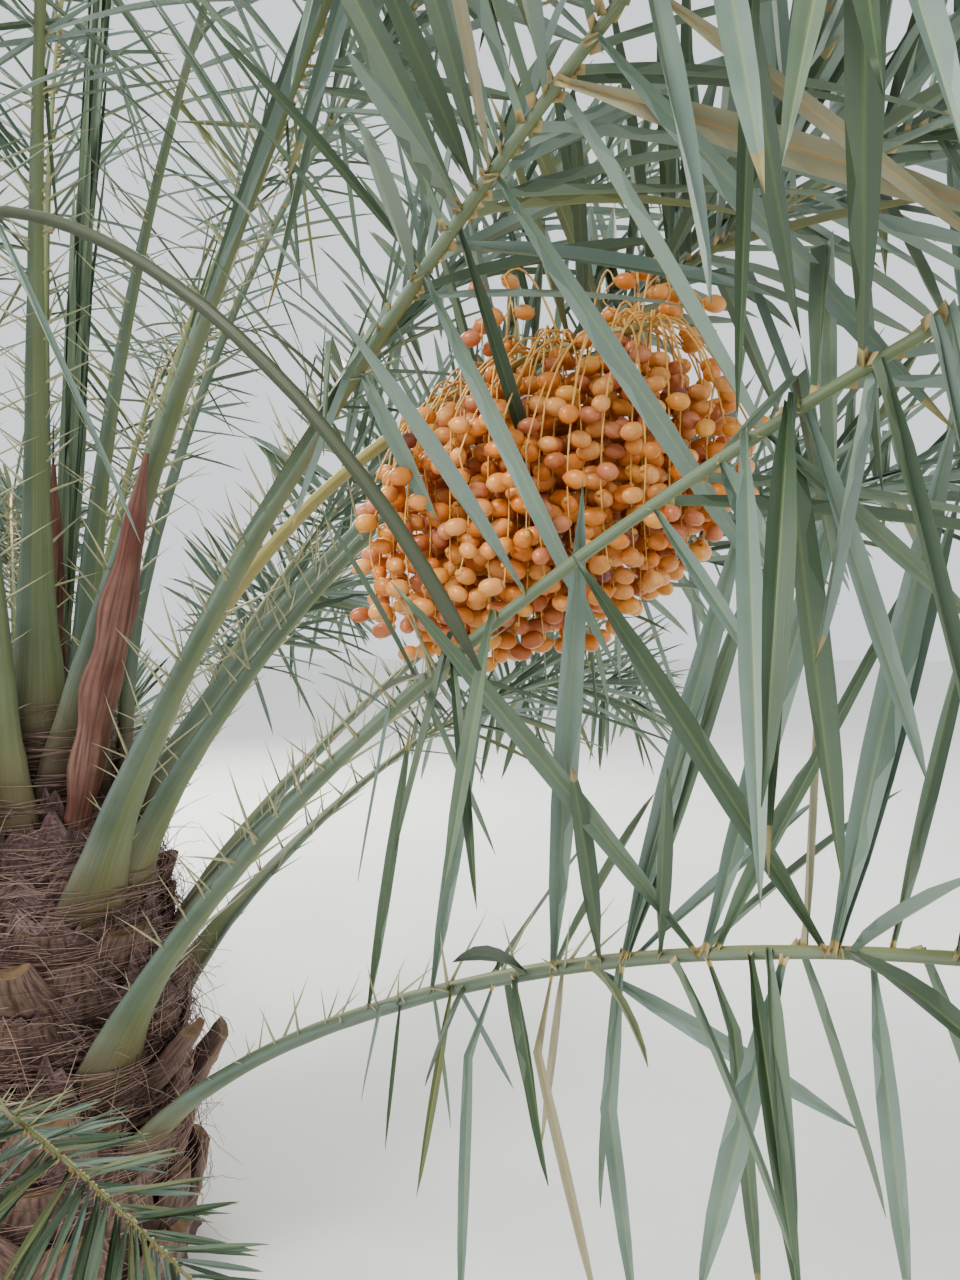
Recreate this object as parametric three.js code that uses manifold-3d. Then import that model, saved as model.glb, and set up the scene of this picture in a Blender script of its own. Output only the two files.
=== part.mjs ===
// A young date palm with one bunch of ripening dates, in millimetres and degrees, +Z up.
// The origin is the middle of the flat cut under the trunk, at ground level.
// A short trunk clad in old leaf bases carries the fronds, the newest spear, two dry spathes and the
// fruit. Each frond is a spiny stalk and a blade, whose leaflets are cut apart down to the rib. On the
// fruiting side they are two pieces, and on the other fronds one.
import * as THREE from "three";
import Module from "manifold-3d";
import { mergeVertices } from "three/addons/utils/BufferGeometryUtils.js";

const wasm = await Module();
wasm.setup();

// Air between two pieces that touch
const GAP = 0.3;

// Trunk: radius and height along its outline, from the flared foot to the growing tip
const TRUNK_OUTLINE = [
  [300, 0],
  [262, 110],
  [238, 280],
  [230, 500],
  [205, 700],
  [165, 830],
  [100, 920],
];
const TRUNK_TOP = 950;
const TRUNK_SIDES = 20;

// Old leaf bases, cut short, in a spiral up the trunk
const GOLDEN_ANGLE = 137.508;
const BOOT_COUNT = 26;
const BOOT_LOWEST = 60;
const BOOT_HIGHEST = 560;
const BOOT_WIDTH = 150;
const BOOT_THICKNESS = 58;
const BOOT_LENGTH = 185;
const BOOT_LENGTHS = [0.85, 1.15];
const BOOT_RISES = [45, 55];
const BOOT_TAPER = [1, 0.9, 0.62];

// Every limb starts inside the trunk. Its first stretch is fused there, as a sheath or a root.
const ROOT_DEPTH = 30;
const SHEATH_LENGTH = 230;
const SPEAR_ROOT = 120;
const SPATHE_ROOT = 90;
const FRUIT_ROOT = 130;

// How a limb arches: it leaves the trunk steeper than its rise by the lift, which fades along it
const LIFT = 30;
const LIFT_FADE = 200;
const STEEPEST = 87;
const BEND_POWER = 1.6;
const PATH_STEPS = 48;

// Frond stalk and rib: width falls from the foot towards the tip, thickness grows in proportion
const FULL_LENGTH = 2900;
const FOOT_WIDTH = 112;
const RIB_TIP_WIDTH = 9;
const WIDTH_FADE = 560;
const THICKNESS_AT_FOOT = 0.45;
const THICKNESS_AT_TIP = 1;
const STALK_SHARE = 0.4;
const SPINE_SPACING = 200;
const SPINE_LENGTH = 100;
const SPINE_LENGTHS = [0.7, 1.2];
const SPINE_FOOT = 14;
const SPINE_LEAN = { out: 0.8, ahead: 0.5, up: 0.3 };
const SPINE_POINT = 2;

// Leaflets: angle from the rib at the first and last ones, and how far they stand above its plane.
// Each takes the longest of the length shares at which it clears everything around it.
const LEAFLET_STEPS = 16;
const LEAFLET_LENGTH = 480;
const LEAFLET_SWELL = [0.12, 0.9];
const LEAFLET_SWELL_POWER = 0.7;
const SHORTEST_LEAFLETS = 0.35;
const LEAFLET_ANGLE_FIRST = 60;
const LEAFLET_ANGLE_LAST = 22;
const LEAFLET_ANGLE_POWER = 1.5;
const LEAFLET_STANCES = [14, 46, -16];
const LEAFLET_SCATTER = 8;
const LEAFLET_SHARES = [1, 0.75, 0.5];
const LEAFLET_THICKNESS = 22;
const LEAFLET_POINT = 1;
const CLEARANCE = 6;

// Fronds on the fruiting side: azimuth from +X, height of the foot, rise above the level at the foot,
// bend from foot to tip, sideways sweep and length
const FRONT_FRONDS = [
  { azimuth: -46, foot: 590, rise: 47, bend: 36, sweep: 4, length: 2900 },
  { azimuth: -42, foot: 300, rise: 43, bend: 43, sweep: 0, length: 2900 },
  { azimuth: -41, foot: 855, rise: 57, bend: 38, sweep: -8, length: 2900 },
  { azimuth: -20, foot: 895, rise: 82, bend: 37, sweep: 0, length: 2800 },
  { azimuth: -72, foot: 880, rise: 82, bend: 52, sweep: 24, length: 2900 },
  { azimuth: 116, foot: 865, rise: 77, bend: 30, sweep: -10, length: 2700 },
  { azimuth: -93, foot: 770, rise: 80, bend: 24, sweep: 26, length: 2800 },
  { azimuth: -10, foot: 720, rise: 50, bend: 54, sweep: -5, length: 2850 },
  { azimuth: -24, foot: 610, rise: 51, bend: 62, sweep: -3, length: 2800 },
  { azimuth: -98, foot: 590, rise: 65, bend: 129, sweep: 78, length: 2250 },
  { azimuth: -28, foot: 190, rise: 30, bend: 52, sweep: -16, length: 2600 },
  { azimuth: -80, foot: 300, rise: 26, bend: 78, sweep: 70, length: 1050 },
  { azimuth: 6, foot: 500, rise: 42, bend: 56, sweep: 5, length: 2750 },
];

// The other fronds fill the rest of the round, from the youngest and steepest to the oldest
const BACK_FRONDS = 23;
const BACK_START = 22;
const BACK_SECTOR = 236;
const GOLDEN_SHARE = 0.618034;
const BACK_YOUNGEST = { foot: 830, rise: 77, bend: 43, length: 2850 };
const BACK_OLDEST = { foot: 170, rise: 24, bend: 62, length: 2600 };
const BACK_SWEEP = 8;

// Spear: the newest frond, still folded, at the middle of the crown
const SPEAR = { azimuth: 60, foot: 880, start: 20, rise: 87, bend: 3, sweep: 0, length: 1900, lift: 0 };
const SPEAR_WIDTH = 44;
const SPEAR_TIP_WIDTH = 8;

// Dry spathes: the woody sheaths that the flower stalks came out of
const SPATHES = [
  { azimuth: -46, foot: 790, rise: 66, bend: 0, sweep: 0, length: 780, lift: 0, width: 74 },
  { azimuth: -52, foot: 915, start: 52, rise: 87, bend: 0, sweep: 0, length: 620, lift: 0, width: 54 },
];
const SPATHE_THICKNESS = 12;
const SPATHE_SWELL = [0.2, 0.96];

// Date bunch: an arched stalk, with strands of dates along its last part in three groups
const FRUIT_STALK = { azimuth: -35, foot: 760, rise: 59, bend: 57, sweep: 10, length: 1460, lift: 0 };
const FRUIT_STALK_WIDTH = 42;
const FRUIT_STALK_TIP_WIDTH = 14;
const FRUIT_STALK_THICKNESS = 16;
const STRANDS_START = 0.7;
const STRAND_GROUPS = ["inner", "middle", "outer"];
const STRANDS_IN_GROUP = 9;
const STRAND_LENGTH = 430;
const STRAND_LENGTHS = [0.75, 1.05];
const STRAND_STEPS = 5;
const STRAND_WIDTH = 7;
const STRAND_CLIMB = [5, 60];
const STRAND_HANG = -86;
const STRAND_FALL = 1.7;
const STRAND_FALL_POWER = 0.7;
const DATE_LENGTH = 38;
const DATE_WIDTH = 32;
const DATE_SIDES = 6;
const DATE_RINGS = 4;
const DATE_DROOP = 0.8;
const DATE_OFFSET = 0.3;
const DATES_ON_STRAND = 4;
const FIRST_DATE_SHARE = 0.4;

// How many straight stretches stand for a limb
const SHEATH_STEPS = 3;
const FROND_STEPS = 24;
const FRUIT_STALK_STEPS = 10;
const FRUIT_ROOT_STEPS = 2;
const STRAND_GROUP_STEPS = 2;
const SPEAR_STEPS = 6;
const SPATHE_STEPS = 7;

// Starts of the repeatable draws, so that no two kinds of piece share one
const SEEDS = { frond: 1000, sweep: 40, bootRise: 300, bootLength: 320, strandLength: 0.3 };
const MERGE_DISTANCE = 1e-3;

const COLOURS = {
  trunk: [0x6b5344, 0.95],
  stalk: [0x8b9d78, 0.6],
  blade: [0x6f8a7c, 0.6],
  spear: [0x8fa573, 0.6],
  spathe: [0x8a4a38, 0.8],
  fruitStalk: [0xc9a552, 0.6],
  dates: [0xd98b45, 0.45],
};

const { degToRad: radians, lerp: mix, clamp } = THREE.MathUtils;

// A repeatable number from 0 to 1 for each number given
function chance(n) {
  const wave = Math.sin(n * 12.9898 + 4.1414) * 43758.5453;
  return wave - Math.floor(wave);
}

function trunkRadius(height) {
  const above = TRUNK_OUTLINE.findIndex(([, z]) => z > height);
  const [lowRadius, low] = TRUNK_OUTLINE[above - 1];
  const [highRadius, high] = TRUNK_OUTLINE[above];
  return mix(lowRadius, highRadius, (height - low) / (high - low));
}

// A limb with its place on the trunk and its path. In its own frame it grows along +X from the
// trunk's axis. side is level, and up is square to the limb in its upright plane.
function makeLimb(sizes) {
  const { azimuth, foot, rise, bend, sweep, length, lift = LIFT } = sizes;
  const start = sizes.start ?? trunkRadius(foot) - ROOT_DEPTH;
  const place = new THREE.Group();
  place.position.z = foot;
  place.rotation.z = radians(azimuth);
  place.updateMatrixWorld();
  const point = new THREE.Vector3(start, 0, 0);
  const path = [];
  for (let i = 0; i <= PATH_STEPS; i += 1) {
    const share = i / PATH_STEPS;
    const turn = radians(sweep * share);
    const steep = rise + lift * Math.exp((-share * length) / LIFT_FADE);
    const tilt = radians(Math.min(STEEPEST, steep) - bend * share ** BEND_POWER);
    const ahead = new THREE.Vector3(
      Math.cos(tilt) * Math.cos(turn),
      Math.cos(tilt) * Math.sin(turn),
      Math.sin(tilt),
    );
    const side = new THREE.Vector3(-Math.sin(turn), Math.cos(turn), 0);
    const up = new THREE.Vector3().crossVectors(ahead, side);
    path.push({ point: point.clone(), ahead, side, up });
    point.addScaledVector(ahead, length / PATH_STEPS);
  }
  return { ...sizes, place, path };
}

// The station of a limb at a distance along it, with the width and thickness it has there
function stationAt(limb, along, width, thickness) {
  const steps = (along / limb.length) * PATH_STEPS;
  const index = Math.min(Math.floor(steps), PATH_STEPS - 1);
  const [a, b] = [limb.path[index], limb.path[index + 1]];
  const share = steps - index;
  return {
    point: a.point.clone().lerp(b.point, share),
    ahead: a.ahead.clone().lerp(b.ahead, share).normalize(),
    side: a.side.clone().lerp(b.side, share).normalize(),
    up: a.up.clone().lerp(b.up, share).normalize(),
    width,
    thickness,
  };
}

// The stations of a limb from one distance to another, each sized by a function of its distance
function stationsAlong(limb, from, to, steps, sizeAt) {
  return Array.from({ length: steps + 1 }, (_, i) => {
    const along = mix(from, to, i / steps);
    return stationAt(limb, along, ...sizeAt(along));
  });
}

// Sections: corners as shares of width and thickness. A stalk or rib is wider above than below.
const RIB_SECTION = [
  [0.5, 0.5],
  [-0.5, 0.5],
  [-0.34, -0.5],
  [0.34, -0.5],
];
const STRAND_SECTION = [
  [0.5, 0.35],
  [-0.5, 0.35],
  [0, -0.6],
];
// The two side faces of the rib section, with the way along the side vector that each one looks
const RIB_SIDES = [
  { edge: 1, way: -1 },
  { edge: 3, way: 1 },
];

const spikeKey = (step, edge) => `${step} ${edge}`;

// A closed limb through its stations. Each spike is a tip for one step and one edge of the section:
// the face there is drawn out to it, as a leaflet or a spine.
function limbGeometry(stations, section = RIB_SECTION, spikes = []) {
  const tips = new Map(spikes.map(({ step, edge, tip }) => [spikeKey(step, edge), tip]));
  const positions = [];
  const faces = [];
  for (const { point, side, up, width, thickness } of stations) {
    for (const [across, above] of section) {
      const corner = point.clone().addScaledVector(side, across * width);
      positions.push(...corner.addScaledVector(up, above * thickness));
    }
  }
  const corners = section.length;
  for (let step = 0; step < stations.length - 1; step += 1) {
    for (let edge = 0; edge < corners; edge += 1) {
      const [a, b] = [step * corners + edge, step * corners + ((edge + 1) % corners)];
      const [c, d] = [b + corners, a + corners];
      const tip = tips.get(spikeKey(step, edge));
      if (tip) {
        const top = positions.length / 3;
        positions.push(...tip);
        faces.push(a, b, top, b, c, top, c, d, top, d, a, top);
      } else {
        faces.push(a, b, c, a, c, d);
      }
    }
  }
  const last = (stations.length - 1) * corners;
  for (let corner = 1; corner < corners - 1; corner += 1) {
    faces.push(0, corner + 1, corner, last, last + corner, last + corner + 1);
  }
  const geometry = new THREE.BufferGeometry();
  geometry.setAttribute("position", new THREE.Float32BufferAttribute(positions, 3));
  geometry.setIndex(faces);
  return geometry;
}

function solidOf(geometry) {
  const plain = geometry.clone().deleteAttribute("normal").deleteAttribute("uv");
  const merged = mergeVertices(plain, MERGE_DISTANCE);
  return new wasm.Manifold(
    new wasm.Mesh({
      numProp: 3,
      vertProperties: new Float32Array(merged.attributes.position.array),
      triVerts: new Uint32Array(merged.index.array),
    }),
  );
}

function joined(geometries) {
  const solid = geometries.map(solidOf).reduce((whole, piece) => whole.add(piece));
  const { vertProperties, triVerts } = solid.getMesh();
  const geometry = new THREE.BufferGeometry();
  geometry.setAttribute("position", new THREE.BufferAttribute(vertProperties, 3));
  geometry.setIndex(new THREE.BufferAttribute(triVerts, 1));
  return geometry;
}

// Everything already in place, as straight tapering rods in the palm's frame
const rods = [];

function makeRod(owner, place, from, to, radius, tipRadius) {
  const [start, end] = [place.localToWorld(from.clone()), place.localToWorld(to.clone())];
  const middle = start.clone().lerp(end, 0.5);
  const reach = start.distanceTo(end) / 2 + Math.max(radius, tipRadius);
  return { owner, start, end, radius, tipRadius, middle, reach };
}

// The air between two rods, taken at the places where their middle lines are nearest
function airBetween(one, other) {
  const u = one.end.clone().sub(one.start);
  const v = other.end.clone().sub(other.start);
  const w = one.start.clone().sub(other.start);
  const [a, b, c, d, e] = [u.dot(u), u.dot(v), v.dot(v), u.dot(w), v.dot(w)];
  const spread = a * c - b * b;
  const first = spread > 1e-9 * a * c ? clamp((b * e - c * d) / spread, 0, 1) : 0;
  const t = clamp((b * first + e) / c, 0, 1);
  const s = clamp((b * t - d) / a, 0, 1);
  const distance = w.addScaledVector(u, s).addScaledVector(v, -t).length();
  return distance - mix(one.radius, one.tipRadius, s) - mix(other.radius, other.tipRadius, t);
}

function isClear(rod) {
  const lowest = Math.min(rod.start.z - rod.radius, rod.end.z - rod.tipRadius);
  if (lowest < CLEARANCE) return false;
  return rods.every(
    (other) =>
      other.owner === rod.owner ||
      rod.middle.distanceTo(other.middle) > rod.reach + other.reach + CLEARANCE ||
      airBetween(rod, other) > CLEARANCE,
  );
}

function keepRods(owner, place, stations) {
  for (let i = 1; i < stations.length; i += 1) {
    const [a, b] = [stations[i - 1], stations[i]];
    rods.push(makeRod(owner, place, a.point, b.point, a.width / 2, b.width / 2));
  }
}

function addMesh(parent, name, geometry, [color, roughness]) {
  const material = new THREE.MeshStandardMaterial({ color, roughness, metalness: 0 });
  const mesh = new THREE.Mesh(geometry, material);
  mesh.name = name;
  parent.add(mesh);
}

// Fronds

function makeFronds() {
  const back = Array.from({ length: BACK_FRONDS }, (_, k) => {
    const age = k / (BACK_FRONDS - 1);
    return {
      azimuth: BACK_START + BACK_SECTOR * ((k * GOLDEN_SHARE) % 1),
      foot: mix(BACK_YOUNGEST.foot, BACK_OLDEST.foot, age),
      rise: mix(BACK_YOUNGEST.rise, BACK_OLDEST.rise, age),
      bend: mix(BACK_YOUNGEST.bend, BACK_OLDEST.bend, age),
      sweep: BACK_SWEEP * (2 * chance(k + SEEDS.sweep) - 1),
      length: mix(BACK_YOUNGEST.length, BACK_OLDEST.length, age),
    };
  });
  return [...FRONT_FRONDS, ...back].map((sizes, index) => ({
    ...makeLimb(sizes),
    name: `frond_${String(index + 1).padStart(2, "0")}`,
    seed: SEEDS.frond * (index + 1),
  }));
}

const frondSize = (frond) => (along) => {
  const scale = frond.length / FULL_LENGTH;
  const width = RIB_TIP_WIDTH + (FOOT_WIDTH - RIB_TIP_WIDTH) * Math.exp(-along / WIDTH_FADE / scale);
  const proportion = mix(THICKNESS_AT_FOOT, THICKNESS_AT_TIP, along / frond.length);
  return [width * scale, width * scale * proportion];
};

function spineTip(foot, way, length) {
  return foot.point
    .clone()
    .addScaledVector(foot.side, way * (foot.width / 2 + SPINE_LEAN.out * length))
    .addScaledVector(foot.ahead, SPINE_LEAN.ahead * length)
    .addScaledVector(foot.up, SPINE_LEAN.up * length);
}

// The stations of a stalk, with its spines
function growStalk(frond) {
  const size = frondSize(frond);
  const at = (along) => stationAt(frond, along, ...size(along));
  const [from, to] = [SHEATH_LENGTH + GAP, frond.length * STALK_SHARE];
  const stations = [at(from)];
  const spikes = [];
  const pairs = Math.floor((to - from) / SPINE_SPACING);
  for (let pair = 0; pair < pairs; pair += 1) {
    const along = mix(from, to, (pair + 0.5) / pairs);
    stations.push(at(along), at(along + SPINE_FOOT));
    const foot = at(along + SPINE_FOOT / 2);
    for (const { edge, way } of RIB_SIDES) {
      const length = SPINE_LENGTH * mix(...SPINE_LENGTHS, chance(frond.seed + 2 * pair + way));
      const tip = spineTip(foot, way, length);
      const rod = makeRod(frond.name, frond.place, foot.point, tip, foot.width / 2, SPINE_POINT);
      if (isClear(rod)) {
        rods.push(rod);
        spikes.push({ step: stations.length - 2, edge, tip });
      }
    }
  }
  stations.push(at(to));
  return { stations, spikes };
}

// A leaflet's tip: it leans ahead by an angle from the rib, and stands above or below the rib's plane
function leafletTip(foot, way, angle, above, length) {
  const flat = length * Math.cos(radians(above));
  return foot.point
    .clone()
    .addScaledVector(foot.ahead, flat * Math.cos(radians(angle)))
    .addScaledVector(foot.side, way * (foot.width / 2 + flat * Math.sin(radians(angle))))
    .addScaledVector(foot.up, length * Math.sin(radians(above)));
}

// Longest in the first half of the blade, and shorter on a small frond
function leafletLength(frond, leafy) {
  const swell = Math.sin(Math.PI * mix(...LEAFLET_SWELL, leafy)) ** LEAFLET_SWELL_POWER;
  return LEAFLET_LENGTH * swell * mix(SHORTEST_LEAFLETS, 1, frond.length / FULL_LENGTH);
}

// The stations of a blade's rib, with its leaflets
function growBlade(frond, from) {
  const stations = stationsAlong(frond, from, frond.length, LEAFLET_STEPS, frondSize(frond));
  const spikes = [];
  for (let step = 0; step < LEAFLET_STEPS; step += 1) {
    const leafy = (step + 0.5) / LEAFLET_STEPS;
    const ends = [stations[step], stations[step + 1]];
    const along = mix(from, frond.length, leafy);
    const foot = stationAt(frond, along, ...frondSize(frond)(along));
    for (const { edge, way } of RIB_SIDES) {
      const number = frond.seed + 10 * step + edge;
      const scatter = LEAFLET_SCATTER * (2 * chance(number) - 1);
      const stance = LEAFLET_STANCES[(step + edge) % LEAFLET_STANCES.length] + scatter;
      const angle = mix(LEAFLET_ANGLE_FIRST, LEAFLET_ANGLE_LAST, leafy ** LEAFLET_ANGLE_POWER);
      for (const share of LEAFLET_SHARES) {
        const tip = leafletTip(foot, way, angle, stance, share * leafletLength(frond, leafy));
        const leafletRods = [ends[0], foot, ends[1]].map(({ point, side, width }) => {
          const root = point.clone().addScaledVector(side, (way * width) / 2);
          return makeRod(frond.name, frond.place, root, tip, LEAFLET_THICKNESS / 2, LEAFLET_POINT);
        });
        if (leafletRods.every(isClear)) {
          rods.push(...leafletRods);
          spikes.push({ step, edge, tip });
          break;
        }
      }
    }
  }
  return { stations, spikes };
}

// A frond of the fruiting side is a stalk and a blade, face to face
function addSplitFrond(frond) {
  const { name, place, length } = frond;
  const stalk = growStalk(frond);
  const blade = growBlade(frond, length * STALK_SHARE + GAP);
  addMesh(place, `${name}_stalk`, limbGeometry(stalk.stations, RIB_SECTION, stalk.spikes), COLOURS.stalk);
  addMesh(place, `${name}_blade`, limbGeometry(blade.stations, RIB_SECTION, blade.spikes), COLOURS.blade);
}

// Any other frond is one piece
function addWholeFrond(frond) {
  const stalk = growStalk(frond);
  const blade = growBlade(frond, frond.length * STALK_SHARE);
  const steps = stalk.stations.length - 1;
  const stations = [...stalk.stations.slice(0, steps), ...blade.stations];
  const leaflets = blade.spikes.map((spike) => ({ ...spike, step: spike.step + steps }));
  const geometry = limbGeometry(stations, RIB_SECTION, [...stalk.spikes, ...leaflets]);
  addMesh(frond.place, frond.name, geometry, COLOURS.blade);
}

// Date bunch

const fruitStalkSize = (along) => {
  const width = mix(FRUIT_STALK_WIDTH, FRUIT_STALK_TIP_WIDTH, along / FRUIT_STALK.length);
  return [width, Math.min(width, FRUIT_STALK_THICKNESS)];
};

// A strand leaves the fruit stalk in its own direction and falls in an arc
function strandStations(root, turn, climb, length) {
  const level = root.ahead
    .clone()
    .multiplyScalar(Math.cos(turn))
    .addScaledVector(root.side, Math.sin(turn))
    .setZ(0)
    .normalize();
  const side = new THREE.Vector3(-level.y, level.x, 0);
  const point = root.point.clone();
  const stations = [];
  for (let i = 0; i <= STRAND_STEPS; i += 1) {
    const fallen = Math.min(1, (STRAND_FALL * i) / STRAND_STEPS) ** STRAND_FALL_POWER;
    const tilt = radians(mix(climb, STRAND_HANG, fallen));
    const ahead = level.clone().multiplyScalar(Math.cos(tilt)).setZ(Math.sin(tilt));
    const up = new THREE.Vector3().crossVectors(ahead, side);
    const [width, thickness] = [STRAND_WIDTH, STRAND_WIDTH];
    stations.push({ point: point.clone(), side, up, width, thickness });
    point.addScaledVector(ahead, length / STRAND_STEPS);
  }
  return stations;
}

function dateGeometry(centre, axis) {
  const turn = new THREE.Quaternion().setFromUnitVectors(THREE.Object3D.DEFAULT_UP, axis);
  return new THREE.SphereGeometry(0.5, DATE_SIDES, DATE_RINGS)
    .scale(DATE_WIDTH, DATE_LENGTH, DATE_WIDTH)
    .applyQuaternion(turn)
    .translate(...centre);
}

// One strand with its dates, cut short where it would touch a frond or the stalk of another group
function strandGeometries(fruit, owner, number, along) {
  const root = stationAt(fruit, along);
  const turn = radians(number * GOLDEN_ANGLE);
  const climb = mix(...STRAND_CLIMB, chance(number));
  const length = STRAND_LENGTH * mix(...STRAND_LENGTHS, chance(number + SEEDS.strandLength));
  const stations = strandStations(root, turn, climb, length);
  const blocked = stations.slice(1).findIndex(({ point }, i) => {
    const previous = stations[i].point;
    return !isClear(makeRod(owner, fruit.place, previous, point, STRAND_WIDTH, STRAND_WIDTH));
  });
  const kept = blocked < 0 ? stations : stations.slice(0, blocked + 1);
  if (kept.length < 2) return [];
  keepRods(owner, fruit.place, kept);
  const pieces = [limbGeometry(kept, STRAND_SECTION)];
  for (let n = 0; n < DATES_ON_STRAND; n += 1) {
    const share = STRAND_STEPS * mix(FIRST_DATE_SHARE, 1, n / (DATES_ON_STRAND - 1));
    const index = Math.min(Math.floor(share), STRAND_STEPS - 1);
    if (index + 1 >= kept.length) break;
    const around = 2 * Math.PI * chance(7 * number + n);
    const axis = new THREE.Vector3(Math.cos(around), Math.sin(around), -DATE_DROOP).normalize();
    const centre = kept[index].point.clone().lerp(kept[index + 1].point, share - index);
    centre.addScaledVector(axis, DATE_OFFSET * DATE_LENGTH);
    const half = axis.clone().multiplyScalar((DATE_LENGTH - DATE_WIDTH) / 2);
    const [top, bottom] = [centre.clone().sub(half), centre.clone().add(half)];
    const rod = makeRod(owner, fruit.place, top, bottom, DATE_WIDTH / 2, DATE_WIDTH / 2);
    if (isClear(rod)) {
      rods.push(rod);
      pieces.push(dateGeometry(centre, axis));
    }
  }
  return pieces;
}

function addFruit(palm, fruit) {
  const strandsStart = STRANDS_START * fruit.length;
  const span = (fruit.length - strandsStart) / STRAND_GROUPS.length;
  const from = FRUIT_ROOT + GAP;
  const stalk = stationsAlong(fruit, from, strandsStart, FRUIT_STALK_STEPS, fruitStalkSize);
  addMesh(fruit.place, "fruit_stalk", limbGeometry(stalk), COLOURS.fruitStalk);
  const groups = STRAND_GROUPS.map((group, g) => {
    const [from, to] = [strandsStart + g * span + GAP, strandsStart + (g + 1) * span];
    const stations = stationsAlong(fruit, from, to, STRAND_GROUP_STEPS, fruitStalkSize);
    const name = `date_strands_${group}`;
    keepRods(name, fruit.place, stations);
    return { name, from, to, stations };
  });
  groups.forEach(({ name, from, to, stations }, g) => {
    const pieces = [limbGeometry(stations)];
    for (let n = 0; n < STRANDS_IN_GROUP; n += 1) {
      const along = mix(from, to, (n + 0.5) / STRANDS_IN_GROUP);
      pieces.push(...strandGeometries(fruit, name, g * STRANDS_IN_GROUP + n, along));
    }
    addMesh(fruit.place, name, joined(pieces), COLOURS.dates);
  });
  palm.add(fruit.place);
}

// Spear and spathes

const spearSize = (along) => {
  const width = mix(SPEAR_WIDTH, SPEAR_TIP_WIDTH, along / SPEAR.length);
  return [width, width];
};

const spatheSize = (spathe) => (along) => {
  const swell = Math.sin(Math.PI * mix(...SPATHE_SWELL, along / spathe.length));
  return [spathe.width * swell, SPATHE_THICKNESS];
};

// Trunk

function trunkCore() {
  const outline = [
    new THREE.Vector2(0, 0),
    ...TRUNK_OUTLINE.map(([radius, height]) => new THREE.Vector2(radius, height)),
    new THREE.Vector2(0, TRUNK_TOP),
  ];
  return new THREE.LatheGeometry(outline, TRUNK_SIDES).rotateX(Math.PI / 2);
}

function makeBoot(_, index) {
  return makeLimb({
    azimuth: index * GOLDEN_ANGLE,
    foot: mix(BOOT_LOWEST, BOOT_HIGHEST, index / (BOOT_COUNT - 1)),
    rise: mix(...BOOT_RISES, chance(index + SEEDS.bootRise)),
    bend: 0,
    sweep: 0,
    length: BOOT_LENGTH * mix(...BOOT_LENGTHS, chance(index + SEEDS.bootLength)),
    lift: 0,
  });
}

const bootStations = (boot) =>
  BOOT_TAPER.map((taper, i) => {
    const along = (boot.length * i) / (BOOT_TAPER.length - 1);
    return stationAt(boot, along, BOOT_WIDTH * taper, BOOT_THICKNESS * taper);
  });

// A boot stands only where it clears the live stalks
function bootIsClear(boot) {
  const [foot, , tip] = bootStations(boot);
  return isClear(makeRod("trunk", boot.place, foot.point, tip.point, foot.width / 2, tip.width / 2));
}

function rootGeometry(limb, length, steps, sizeAt) {
  return limbGeometry(stationsAlong(limb, 0, length, steps, sizeAt)).applyMatrix4(limb.place.matrix);
}

// Assembly: first the limbs and the fruit, then the leaflets and spines, which keep clear of them

const palm = new THREE.Group();
const fronds = makeFronds();
const spear = makeLimb(SPEAR);
const spathes = SPATHES.map(makeLimb);
const fruit = makeLimb(FRUIT_STALK);

for (const frond of fronds) {
  const { name, place, length } = frond;
  const size = frondSize(frond);
  keepRods("trunk", place, stationsAlong(frond, 0, SHEATH_LENGTH, SHEATH_STEPS, size));
  keepRods(name, place, stationsAlong(frond, SHEATH_LENGTH, length, FROND_STEPS, size));
}
keepRods("spear", spear.place, stationsAlong(spear, 0, spear.length, SPEAR_STEPS, spearSize));
for (const spathe of spathes) {
  const stations = stationsAlong(spathe, 0, spathe.length, SPATHE_STEPS, spatheSize(spathe));
  keepRods("spathe", spathe.place, stations);
}
const bareStalk = STRANDS_START * fruit.length;
keepRods("fruit", fruit.place, stationsAlong(fruit, 0, bareStalk, FRUIT_STALK_STEPS, fruitStalkSize));

const boots = Array.from({ length: BOOT_COUNT }, makeBoot).filter(bootIsClear);
addMesh(
  palm,
  "trunk",
  joined([
    trunkCore(),
    ...boots.map((boot) => limbGeometry(bootStations(boot)).applyMatrix4(boot.place.matrix)),
    ...fronds.map((frond) => rootGeometry(frond, SHEATH_LENGTH, SHEATH_STEPS, frondSize(frond))),
    rootGeometry(spear, SPEAR_ROOT, 1, spearSize),
    ...spathes.map((spathe) => rootGeometry(spathe, SPATHE_ROOT, 1, spatheSize(spathe))),
    rootGeometry(fruit, FRUIT_ROOT, FRUIT_ROOT_STEPS, fruitStalkSize),
  ]),
  COLOURS.trunk,
);

addFruit(palm, fruit);

fronds.forEach((frond, index) => {
  if (index < FRONT_FRONDS.length) addSplitFrond(frond);
  else addWholeFrond(frond);
  palm.add(frond.place);
});

const spearStations = stationsAlong(spear, SPEAR_ROOT + GAP, spear.length, SPEAR_STEPS, spearSize);
addMesh(spear.place, "spear", limbGeometry(spearStations), COLOURS.spear);
palm.add(spear.place);

spathes.forEach((spathe, index) => {
  const [from, size] = [SPATHE_ROOT + GAP, spatheSize(spathe)];
  const stations = stationsAlong(spathe, from, spathe.length, SPATHE_STEPS, size);
  addMesh(spathe.place, `dry_spathe_${index + 1}`, limbGeometry(stations), COLOURS.spathe);
  palm.add(spathe.place);
});

export default palm;
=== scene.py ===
# A young date palm with one bunch of ripening dates, grown over its plain solids.
# Metres and degrees, +Z up. Limbs follow the solids' own rule and carry finer growth: leaflets,
# spines, leaf bases, fibre and fruit.
import math
from types import SimpleNamespace

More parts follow.
